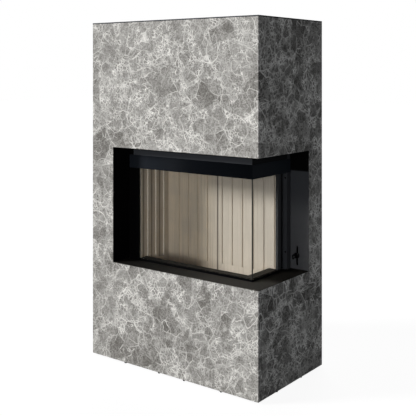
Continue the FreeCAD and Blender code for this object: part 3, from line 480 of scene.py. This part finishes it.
def burnished_steel():
    """Steel, turned, blackened and worn at the touch: dark with brighter rubbed patches."""
    material, tree, surface, place = blank_material("burnished steel")
    rub = spread_noise(tree, place, RUB_MM, detail=3.0, low=0.4, high=0.7)
    tone = put(tree, "Mix", {0: rub, 6: rgba(srgb("#070708")), 7: rgba(srgb("#202123"))}, **TINTS)
    finish(tree, surface, {"Base Color": tone, "Roughness": 0.22, "Metallic": 0.7})
    return material


def clear_ceramic_glass():
    """Clear glass ceramic, rolled and fire-polished: colourless on the face, faintly warm in depth."""
    material, tree, surface = blank_material("clear glass ceramic")[:3]
    finish(tree, surface, {"Base Color": rgba(srgb("#fbfaf8")), "Transmission Weight": 1.0,
                           "Roughness": 0.0, "IOR": 1.5})
    ray = put(tree, "LightPath").node.outputs
    clear = put(tree, "BsdfTransparent", {"Color": rgba(srgb("#f6f5f2"))})
    through = put(tree, "Math", (ray["Is Shadow Ray"], ray["Is Diffuse Ray"]), operation="MAXIMUM")
    blend = put(tree, "MixShader", (through, surface.outputs["BSDF"], clear))
    feed(tree, tree.nodes["Material Output"], {"Surface": blend})
    return material


def black_silicone():
    """Heat-proof silicone, gunned into the joint: dull black, slightly uneven."""
    material, tree, surface, place = blank_material("black silicone")
    lump = put(tree, "TexNoise", {"Vector": place, "Scale": per_metre(LUMP_MM)})
    tone = put(tree, "Mix", {0: lump, 6: rgba(srgb("#0a0a0b")), 7: rgba(srgb("#131314"))}, **TINTS)
    finish(tree, surface, {"Base Color": tone, "Roughness": 0.7})
    return material


def vermiculite():
    """Pressed vermiculite board: golden flakes in a pale binder."""
    material, tree, surface, place = blank_material("vermiculite board")
    flake = put(tree, "TexVoronoi", {"Vector": place, "Scale": per_metre(FLAKE_MM)})
    shade = put(tree, "SeparateColor", (flake.node.outputs["Color"],), "Red")
    tone = put(tree, "Mix", {0: shade, 6: rgba(srgb("#8f7f63")), 7: rgba(srgb("#cbbd9f"))}, **TINTS)
    finish(tree, surface, {"Base Color": tone, "Roughness": 0.85}, flake, depth_mm=0.3, strength=0.5)
    return material


# Pieces

def body_of(node):
    """Name of the moving body that carries a node."""
    return next(name for name, nodes in BODIES.items() if node in nodes)


def dress(nodes, material):
    """Gives nodes of the frame their material."""
    for node in nodes:
        for slot in frame["nodes"][node].material_slots:
            slot.material = material


def select_only(*pieces):
    """Selects these pieces alone, the first of them active."""
    bpy.ops.object.select_all(action="DESELECT")
    for piece in pieces:
        piece.select_set(True)
    bpy.context.view_layer.objects.active = pieces[0]


def bevel_edges(piece, width_mm, segments=2, harden_normals=False):
    """Rounds off the sharp edges of a piece."""
    select_only(piece)
    bevel = piece.modifiers.new("Bevel", "BEVEL")
    bevel.width = width_mm * MM
    bevel.segments = segments
    bevel.limit_method = "ANGLE"
    bevel.angle_limit = BEVEL_ANGLE
    bevel.harden_normals = harden_normals
    bpy.ops.object.modifier_apply(modifier=bevel.name)


def register_piece(piece, nodes, material):
    """Lets a finished piece stand for nodes of the frame."""
    piece.data.materials.clear()
    piece.data.materials.append(material)
    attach(piece, body_of(nodes[0]))
    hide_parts(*nodes)


def softened(node, width_mm, material):
    """Copy of a node with its sharp edges rounded off, shown in its place."""
    select_only(frame["nodes"][node])
    bpy.ops.object.duplicate(linked=False)
    piece = bpy.context.view_layer.objects.active
    piece.name = node + "_finished"
    bpy.ops.object.mode_set(mode="EDIT")
    bpy.ops.mesh.select_all(action="SELECT")
    bpy.ops.mesh.remove_doubles(threshold=WELD)
    bpy.ops.mesh.dissolve_limited(angle_limit=FLAT_ANGLE)
    bpy.ops.object.mode_set(mode="OBJECT")
    bpy.ops.object.shade_smooth_by_angle(angle=SMOOTH_ANGLE)
    bevel_edges(piece, width_mm, harden_normals=True)
    register_piece(piece, [node], material)


def join_pieces(pieces, name):
    """One smooth object out of several, with its place in its mesh."""
    select_only(*pieces)
    bpy.ops.object.join()
    joined = bpy.context.view_layer.objects.active
    joined.name = name
    bpy.ops.object.transform_apply(location=True, rotation=True, scale=True)
    bpy.ops.object.shade_smooth_by_angle(angle=SMOOTH_ANGLE)
    return joined


def round_bar(sides, radius, length, location, turn=0):
    """Upright or turned bar to shape a piece from, with its place in its mesh."""
    bpy.ops.mesh.primitive_cylinder_add(vertices=sides, radius=radius, depth=length, location=location,
                                        rotation=(turn, 0, 0))
    bpy.ops.object.transform_apply(location=True, rotation=True, scale=True)
    return bpy.context.object


def pick_faces(piece, test):
    """Selects the faces whose centre and normal pass a test, in edit mode."""
    bpy.ops.object.mode_set(mode="EDIT")
    bpy.ops.mesh.select_all(action="DESELECT")
    bpy.ops.mesh.select_mode(type="FACE")
    bpy.ops.object.mode_set(mode="OBJECT")
    for face in piece.data.polygons:
        face.select = test(face.center, face.normal)
    bpy.ops.object.mode_set(mode="EDIT")


# Settings that a user would change

class StageSettings(bpy.types.PropertyGroup):
    """Camera, lamps and ground"""
    lens: FloatProperty(name="Lens", description="Focal length", default=68.37, unit="CAMERA")
    eye_height: FloatProperty(name="Eye height", description="Camera above the floor", default=1.547,
                              unit="LENGTH")
    beside: FloatProperty(name="Beside", description="Camera to the right of the open corner",
                          default=2.033, unit="LENGTH")
    before: FloatProperty(name="Before", description="Camera in front of the open corner", default=3.054,
                          unit="LENGTH")
    turn: FloatProperty(name="Turn", description="Heading of the level camera", default=math.radians(37.3),
                        subtype="ANGLE")
    drop: FloatProperty(name="Drop", description="Downward shift of the frame", default=0.3293)
    key_side: FloatProperty(name="Key side", description="Key light, left of the front",
                            default=math.radians(47.3), subtype="ANGLE")
    key_height: FloatProperty(name="Key height", description="Elevation of the key light",
                              default=math.radians(19.3), subtype="ANGLE")
    key_strength: FloatProperty(name="Key strength", description="Strength of the key light", default=3.2)
    key_softness: FloatProperty(name="Key softness", description="Apparent width of the key light",
                                default=math.radians(16), subtype="ANGLE")
    fill_strength: FloatProperty(name="Fill strength", description="Strength of the low front light",
                                 default=0.9)
    back_strength: FloatProperty(name="Back strength", description="Light from behind the left side",
                                 default=1.1)
    sky: FloatProperty(name="Sky", description="Strength of the studio's own light", default=0.03)
    mirror_sky: FloatProperty(name="Mirrored sky", description="Share of the white ground in gloss",
                              default=0.12)
    floor: FloatVectorProperty(name="Floor", description="Colour of the floor", subtype="COLOR",
                               default=srgb("#6c6c6c"))


class StoneSettings(bpy.types.PropertyGroup):
    """Look of the slabs"""
    dark: FloatVectorProperty(name="Dark stone", description="Ground of the dark patches", subtype="COLOR",
                              default=srgb("#65625d"))
    light: FloatVectorProperty(name="Light stone", description="Ground of the light patches",
                               subtype="COLOR", default=srgb("#adaba7"))
    vein: FloatVectorProperty(name="Vein", description="Colour of the veins", subtype="COLOR",
                              default=srgb("#efede8"))
    cloud_mm: FloatProperty(name="Cloud", description="Size of the wide clouds in mm", default=260.0)
    grain_mm: FloatProperty(name="Grain", description="Size of the mottling in mm", default=7.0)
    vein_mm: FloatProperty(name="Vein spacing", description="Distance between the main veins in mm",
                           default=130.0)
    sway_mm: FloatProperty(name="Sway", description="How far the veins wander in mm", default=60.0)
    # Painted shade: the right slabs take a darker, cooler copy of the marble with more contrast
    side_shade_depth: FloatProperty(name="Side depth", description="Deeper contrast of the right slabs",
                              default=0.55)
    widening: FloatProperty(name="Widening", description="How much the veins widen with that depth",
                            default=0.9)
    edge_mm: FloatProperty(name="Edge", description="Rounding of the sawn edges in mm", default=0.8)


class SteelSettings(bpy.types.PropertyGroup):
    """Look of the coated steel"""
    satin: FloatVectorProperty(name="Satin black", description="Powder coat of the lining", subtype="COLOR",
                               default=srgb("#383a3e"))
    shade: FloatVectorProperty(name="Shade black", description="Coat of the left side and soffit",
                               subtype="COLOR", default=srgb("#0a0a0b"))
    sill: FloatVectorProperty(name="Sill black", description="Coat of the sill and ledge", subtype="COLOR",
                              default=srgb("#4b4945"))
    # Places of the painted shade on the sill and ledge: none at the front and the right, full towards the
    # rear and the left; worn pale and deep black below mean no painted shade and full painted shade
    no_shade_front: FloatProperty(name="Worn to", description="The sill is worn pale in front of it",
                           default=-0.17, unit="LENGTH")
    full_shade_rear: FloatProperty(name="Deep from", description="The sill is deep black behind it",
                             default=-0.07, unit="LENGTH")
    no_shade_right: FloatProperty(name="Worn right", description="Sill and ledge are worn pale to its right",
                              default=0.42, unit="LENGTH")
    full_shade_left: FloatProperty(name="Deep left", description="Sill and ledge are deep black to its left",
                             default=-0.2, unit="LENGTH")
    # Painted light on the rear reveal: its paler colour, and the two levels between which it fades out
    # upwards
    painted_light: FloatVectorProperty(name="Dusted black", description="Rear reveal near the sill", subtype="COLOR",
                              default=srgb("#4c4d50"))
    painted_light_low: FloatProperty(name="Dust from", description="Level of the full dust", default=0.78,
                            unit="LENGTH")
    painted_light_high: FloatProperty(name="Dust to", description="Level where the dust ends", default=0.93,
                             unit="LENGTH")
    # Painted shade: the rear reveal is painted black and made matt above this level
    shade_level: FloatProperty(name="Matt level", description="Rear reveal is matt black above",
                              default=1.033, unit="LENGTH")
    # Painted shade: the fascia is painted near-black and made matt to the right of this place
    shade_side: FloatProperty(name="Matt side", description="Fascia is matt black to the right of it",
                             default=0.437, unit="LENGTH")
    enamel: FloatVectorProperty(name="Enamel", description="Blue-black of the header", subtype="COLOR",
                                default=srgb("#1d2127"))
    edge_mm: FloatProperty(name="Edge", description="Rounding of the folded edges in mm", default=0.6)


class LiningSettings(bpy.types.PropertyGroup):
    """Look of the firebox lining"""
    clay: FloatVectorProperty(name="Clay", description="Colour of the lining", subtype="COLOR",
                              default=srgb("#d7d0c6"))
    clay_shade: FloatVectorProperty(name="Clay shade", description="Cloudy tone of the lining",
                                    subtype="COLOR", default=srgb("#cac3b9"))
    clay_fleck: FloatVectorProperty(name="Fleck", description="Colour of the grains", subtype="COLOR",
                                    default=srgb("#b2a99c"))
    # Warm tints painted over the shaded left end of the firebox: the lighter one on the back is painted
    # bounce light, the darker one on the left panel is painted shade
    clay_back_shade_tint: FloatVectorProperty(name="Baked clay", description="Colour of the back's left end",
                                    subtype="COLOR", default=srgb("#e6d9c5"))
    clay_left_shade_tint: FloatVectorProperty(name="Browned clay", description="Colour of the left panel",
                                   subtype="COLOR", default=srgb("#beb09c"))
    # Painted light: faces that look to the front take this paler colour
    clay_front_lit: FloatVectorProperty(name="Washed clay", description="Colour where the air wash sweeps",
                                     subtype="COLOR", default=srgb("#f4efe6"))
    # Between these two places the painted tint fades out towards the right
    shade_tint_from: FloatProperty(name="Baked from", description="Full bake to the left of it", default=-0.08,
                             unit="LENGTH")
    shade_tint_to: FloatProperty(name="Baked to", description="No bake to the right of it", default=0.08,
                           unit="LENGTH")
    # Soot in the back's joint, and painted shade in the flutes of the left panel
    soot_and_shade: FloatVectorProperty(name="Soot", description="Colour of the soot in joints and flutes",
                              subtype="COLOR", default=srgb("#5a5044"))
    joint_place: FloatProperty(name="Joint", description="Place of the joint in the back", default=0.042,
                               unit="LENGTH")
    rib_end: FloatProperty(name="First flute", description="Start of the first flute of the left panel",
                           default=0.0152, unit="LENGTH")
    rib_pitch: FloatProperty(name="Rib pitch", description="Distance between the ribs", default=0.0668,
                             unit="LENGTH")
    edge_mm: FloatProperty(name="Edge", description="Rounding of the flutes in mm", default=0.6)


class FireplaceSettings(bpy.types.PropertyGroup):
    """All settings of the fireplace"""
    stage: PointerProperty(type=StageSettings)
    stone: PointerProperty(type=StoneSettings)
    steel: PointerProperty(type=SteelSettings)
    lining: PointerProperty(type=LiningSettings)


# Operators

class FIREPLACE_OT_stage(bpy.types.Operator):
    """Sets the camera, the floor and the light"""
    bl_idname = "fireplace.stage"
    bl_label = "Stage"
    sensor_mm = 36
    fill_lamp = (math.radians(-22), math.radians(5), math.radians(14))
    back_lamp = (math.radians(150), math.radians(35), math.radians(40))
    white = (1, 1, 1, 1)
    floor_size = 60
    floor_specks = 3.0
    speck_share = 1.02
    floor_glow = 0.93

    def execute(self, context):
        look = context.scene.fireplace.stage
        corner = Vector((CAD_HIGH.x, CAD_LOW.y, 0))
        eye = corner + Vector((look.beside, -look.before, look.eye_height))
        bpy.ops.object.camera_add(location=eye, rotation=(QUARTER_TURN, 0, look.turn))
        camera = context.object
        camera.data.lens = look.lens
        camera.data.sensor_width = self.sensor_mm
        camera.data.shift_y = -look.drop
        context.scene.camera = camera
        self.lamp("key", look.key_strength, look.key_side, look.key_height, look.key_softness)
        self.lamp("fill", look.fill_strength, *self.fill_lamp)
        self.lamp("back", look.back_strength, *self.back_lamp)
        self.white_world(context.scene, look)
        self.white_floor(look)
        context.scene.view_settings.view_transform = "Standard"
        return {"FINISHED"}

    def lamp(self, name, strength, side, height, softness):
        """Distant lamp, turned away from the front towards the left."""
        bpy.ops.object.light_add(type="SUN", rotation=(QUARTER_TURN - height, 0, -side))
        lamp = bpy.context.object
        lamp.name = name
        lamp.data.energy = strength
        lamp.data.angle = softness

    def seen_share(self, tree, mirrored):
        """1 where the camera looks or looks through glass, and a share of it after a reflection."""
        ray = put(tree, "LightPath").node.outputs
        seen = ray["Is Camera Ray"]
        for other in ("Is Transmission Ray", "Is Glossy Ray"):
            seen = put(tree, "Math", (seen, ray[other]), operation="MAXIMUM")
        mirrors = put(tree, "Math", (ray["Glossy Depth"], 1.0), operation="MINIMUM")
        share = put(tree, "Mix", {0: mirrors, 2: 1.0, 3: mirrored})
        return put(tree, "Math", (seen, share), operation="MULTIPLY")

    def white_world(self, scene, look):
        """World that looks white and hardly lights."""
        world = scene.world or bpy.data.worlds.new("studio")
        scene.world = world
        world.use_nodes = True
        tree = world.node_tree
        share = self.seen_share(tree, look.mirror_sky)
        strength = put(tree, "MapRange", {"Value": share, "To Min": look.sky, "To Max": 1.0})
        feed(tree, tree.nodes["Background"], {"Color": self.white, "Strength": strength})

    def white_floor(self, look):
        """Floor that looks white and keeps the shadow."""
        bpy.ops.mesh.primitive_plane_add(size=self.floor_size)
        floor = bpy.context.object
        floor.name = "floor"
        material, tree, surface, place = blank_material("white studio floor")
        speck = put(tree, "TexNoise", {"Vector": place, "Scale": self.floor_specks})
        plain_tone, speck_tone = rgba(look.floor), rgba(look.floor, self.speck_share)
        tone = put(tree, "Mix", {0: speck, 6: plain_tone, 7: speck_tone}, **TINTS)
        plain = put(tree, "BsdfDiffuse", {"Color": tone})
        glow = put(tree, "Emission", {"Color": self.white, "Strength": self.floor_glow})
        bright = put(tree, "AddShader", (plain, glow))
        blend = put(tree, "MixShader", (self.seen_share(tree, look.mirror_sky), plain, bright))
        feed(tree, tree.nodes["Material Output"], {"Surface": blend})
        tree.nodes.remove(surface)
        floor.data.materials.append(material)


class FIREPLACE_OT_stone_slabs(bpy.types.Operator):
    """Dresses the slabs in honed grey marble"""
    bl_idname = "fireplace.stone_slabs"
    bl_label = "Stone slabs"

    def execute(self, context):
        look = context.scene.fireplace.stone
        marble = honed_marble("honed grey marble", look, 0.0)
        # The right slabs take the shaded copy of the marble, which is painted shade
        darker = honed_marble("honed dark grey marble", look, look.side_shade_depth)
        for node in STONE_NODES:
            softened(node, look.edge_mm, darker if node.startswith("right") else marble)
        return {"FINISHED"}


class FIREPLACE_OT_steel_lining(bpy.types.Operator):
    """Dresses the steel of the recess, the top plate and the door's frame"""
    bl_idname = "fireplace.steel_lining"
    bl_label = "Steel lining"

    def execute(self, context):
        look = context.scene.fireplace.steel
        satin = powder_coat("satin black powder coat", look.satin, roughness=0.5, specular=0.15)
        shade = powder_coat("matt black powder coat", look.shade, roughness=0.8, specular=0.01)
        for node in SATIN_NODES:
            softened(node, look.edge_mm, satin)
        for node in SHADE_NODES:
            softened(node, look.edge_mm, shade)
        dress(("soffit_plates",), shade)
        softened("rear_reveal", look.edge_mm, reveal_coat(look))
        softened("fascia", look.edge_mm, fascia_coat(look))
        dress(BODY_NODES, satin)
        softened("top_plate", look.edge_mm, satin)
        dress(("sill_plates",), sill_coat("grained black coat of the sill", look, rear_shade_share=1.0))
        dress(("ledge_frame",), sill_coat("grained black coat of the ledge", look, rear_shade_share=0.0))
        softened("header_band", look.edge_mm, black_enamel(look))
        return {"FINISHED"}


class FIREPLACE_OT_glazing(bpy.types.Operator):
    """Dresses the panes and their joint"""
    bl_idname = "fireplace.glazing"
    bl_label = "Glazing"

    def execute(self, context):
        dress(("front_glass", "side_glass"), clear_ceramic_glass())
        dress(("glass_seam",), black_silicone())
        return {"FINISHED"}


class FIREPLACE_OT_lining(bpy.types.Operator):
    """Dresses the fluted panels, the hearth and the baffle"""
    bl_idname = "fireplace.lining"
    bl_label = "Firebox lining"

    def execute(self, context):
        look = context.scene.fireplace.lining
        # Browned here is painted shade: the left panel takes the darker tint, paler front faces as painted
        # light and painted shade in its flutes; the back takes the lighter tint as painted bounce light,
        # with soot in its joint
        clay = fireclay("browned fireclay", look, look.clay_left_shade_tint, lee_shade, front_lit_share=0.85)
        sooted = fireclay("cream fireclay with a sooted joint", look, look.clay_back_shade_tint, joint_soot,
                          front_lit_share=0.0)
        for node in LINING_NODES:
            softened(node, look.edge_mm, sooted if node.startswith("back") else clay)
        softened("baffle_plate", look.edge_mm, vermiculite())
        return {"FINISHED"}


class FIREPLACE_OT_air_handle(bpy.types.Operator):
    """Turns the ring handle with its rosette and stem"""
    bl_idname = "fireplace.air_handle"
    bl_label = "Air handle"
    wire = 3.1 * MM
    wire_sides = 14
    ring_radius = 13.38 * MM
    ring_sides = 48
    stem_sides = 40
    neck = 4.5 * MM
    rosette = 14.87 * MM
    rosette_thickness = 6.0 * MM
    rosette_gap = 0.5 * MM

    def execute(self, context):
        low, high = [Vector(corner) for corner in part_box("control_ring")]
        steel = burnished_steel()
        center = (low + high) / 2
        bend = self.ring_radius - self.wire
        eye = Vector((center.x, low.y + self.ring_radius, center.z))
        bpy.ops.mesh.primitive_torus_add(major_radius=bend, minor_radius=self.wire,
                                         major_segments=self.ring_sides, minor_segments=self.wire_sides,
                                         location=eye, rotation=(0, QUARTER_TURN, 0))
        ring = context.object
        stem = self.turned_stem(center, eye.y + bend, high.y)
        register_piece(join_pieces([ring, stem], "ring_handle"), ["control_ring"], steel)
        # The guide rods seen through the slot take the dark steel too, so that the slot reads black:
        # painted shade
        dress(("air_gate", "guide_rods"), steel)
        return {"FINISHED"}

    def turned_stem(self, center, front, back):
        """Stem with a neck behind the ring and a domed rosette, shaped from one bar."""
        rosette_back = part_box("rear_reveal")[0][1] - self.rosette_gap
        rosette_front = rosette_back - self.rosette_thickness
        middle = (center.x, (front + back) / 2, center.z)
        stem = round_bar(self.stem_sides, self.neck, back - front, middle, QUARTER_TURN)
        for level in (rosette_front, rosette_back):
            bpy.ops.object.mode_set(mode="EDIT")
            bpy.ops.mesh.select_all(action="SELECT")
            bpy.ops.mesh.bisect(plane_co=(center.x, level, center.z), plane_no=(0, 1, 0))
            bpy.ops.object.mode_set(mode="OBJECT")
        pick_faces(stem, lambda at, normal: rosette_front < at.y < rosette_back and abs(normal.y) < ACROSS)
        swell = {"value": self.rosette - self.neck}
        bpy.ops.mesh.extrude_region_shrink_fatten(TRANSFORM_OT_shrink_fatten=swell)
        bpy.ops.object.mode_set(mode="OBJECT")
        bevel_edges(stem, width_mm=1.5, segments=3)
        return stem


class FIREPLACE_OT_channel_screws(bpy.types.Operator):
    """Makes the two screws of the guide channel"""
    bl_idname = "fireplace.channel_screws"
    bl_label = "Channel screws"
    sides = 30
    rim_share = 0.25
    dome = 0.2 * MM
    socket_depth = 1.2 * MM
    socket_slope = 0.05 * MM

    def execute(self, context):
        low, high = [Vector(corner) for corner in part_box("channel_screws")]
        radius = (high.x - low.x) / 2
        screws = [self.screw(low, high, radius, level) for level in (low.z + radius, high.z - radius)]
        piece = join_pieces(screws, "channel_screws_turned")
        register_piece(piece, ["channel_screws"], burnished_steel())
        return {"FINISHED"}

    def screw(self, low, high, radius, level):
        """Domed head with a socket, from one bar."""
        rim = radius * self.rim_share
        middle = ((low.x + high.x) / 2, (low.y + high.y) / 2, level)
        screw = round_bar(self.sides, radius, high.y - low.y, middle, QUARTER_TURN)
        pick_faces(screw, lambda at, normal: normal.y < -FACING)
        for thickness, depth in ((rim, 0), (rim, self.dome), (self.socket_slope, self.socket_depth)):
            bpy.ops.mesh.inset(thickness=thickness, depth=-depth)
        bpy.ops.object.mode_set(mode="OBJECT")
        bevel_edges(screw, width_mm=0.5)
        return screw


class FIREPLACE_OT_levelling_feet(bpy.types.Operator):
    """Turns the levelling feet with their necks"""
    bl_idname = "fireplace.levelling_feet"
    bl_label = "Levelling feet"
    row_shares = (0.2065, 0.4177, 0.5689, 0.7845)
    side_shares = (0.296, 0.673)
    inset = 13.0 * MM
    sides = 36
    radius = 6.37 * MM
    pad = 5.0 * MM
    shoulder_share = 0.31

    def execute(self, context):
        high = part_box("levelling_feet")[1]
        size = CAD_HIGH - CAD_LOW
        places = []
        for share in self.row_shares:
            x = CAD_HIGH.x - share * size.x
            places += [(x, CAD_LOW.y + self.inset), (x, CAD_HIGH.y - self.inset)]
        for share in self.side_shares:
            y = CAD_LOW.y + share * size.y
            places += [(CAD_LOW.x + self.inset, y), (CAD_HIGH.x - self.inset, y)]
        first = self.foot(places[0], high[2])
        feet = [first]
        for x, y in places[1:]:
            select_only(first)
            bpy.ops.object.duplicate(linked=False)
            copy = context.view_layer.objects.active
            copy.location = (x - places[0][0], y - places[0][1], 0)
            feet.append(copy)
        look = context.scene.fireplace.steel
        coating = powder_coat("black foot coat", look.shade, roughness=0.8, specular=0.01)
        register_piece(join_pieces(feet, "turned_feet"), ["levelling_feet"], coating)
        return {"FINISHED"}

    def foot(self, spot, top):
        """Pad with a raised neck, from one bar."""
        foot = round_bar(self.sides, self.radius, self.pad, (*spot, self.pad / 2))
        pick_faces(foot, lambda at, normal: normal.z > FACING)
        bpy.ops.mesh.inset(thickness=self.radius * self.shoulder_share, depth=0.0)
        bpy.ops.mesh.extrude_region_move(TRANSFORM_OT_translate={"value": (0, 0, top - self.pad)})
        bpy.ops.object.mode_set(mode="OBJECT")
        bevel_edges(foot, width_mm=0.8)
        return foot


class FIREPLACE_OT_lifting_gear(bpy.types.Operator):
    """Dresses the pulleys, cables and weights"""
    bl_idname = "fireplace.lifting_gear"
    bl_label = "Lifting gear"

    def execute(self, context):
        dress(TURNED_NODES, turned_steel())
        dress(CABLE_NODES, wire_rope())
        dress(CAST_NODES, cast_iron())
        return {"FINISHED"}


class FIREPLACE_OT_hidden_frame(bpy.types.Operator):
    """Dresses the frame and ducts in galvanised steel"""
    bl_idname = "fireplace.hidden_frame"
    bl_label = "Frame and ducts"

    def execute(self, context):
        dress(GALVANISED_NODES, galvanised_sheet())
        return {"FINISHED"}


class FIREPLACE_PT_panel(bpy.types.Panel):
    """Lists the pieces of the fireplace"""
    bl_idname = "FIREPLACE_PT_panel"
    bl_label = "Corner fireplace"
    bl_space_type = "VIEW_3D"
    bl_region_type = "UI"
    bl_category = "Fireplace"

    def draw(self, context):
        for operator in OPERATORS:
            self.layout.operator(operator.bl_idname)
        for group in ("stage", "stone", "steel", "lining"):
            box = self.layout.box()
            settings = getattr(context.scene.fireplace, group)
            for name in settings.__annotations__:
                box.prop(settings, name)


OPERATORS = (FIREPLACE_OT_stage, FIREPLACE_OT_stone_slabs, FIREPLACE_OT_steel_lining, FIREPLACE_OT_glazing,
             FIREPLACE_OT_lining, FIREPLACE_OT_air_handle, FIREPLACE_OT_channel_screws,
             FIREPLACE_OT_levelling_feet, FIREPLACE_OT_lifting_gear, FIREPLACE_OT_hidden_frame)
GROUPS = (StageSettings, StoneSettings, SteelSettings, LiningSettings, FireplaceSettings)


def register():
    for item in GROUPS + OPERATORS + (FIREPLACE_PT_panel,):
        bpy.utils.register_class(item)
    bpy.types.Scene.fireplace = PointerProperty(type=FireplaceSettings)


def unregister():
    del bpy.types.Scene.fireplace
    for item in reversed(GROUPS + OPERATORS + (FIREPLACE_PT_panel,)):
        bpy.utils.unregister_class(item)


def main():
    register()
    for operator in OPERATORS:
        group, name = operator.bl_idname.split(".")
        getattr(getattr(bpy.ops, group), name)()


if __name__ == "__main__":
    main()
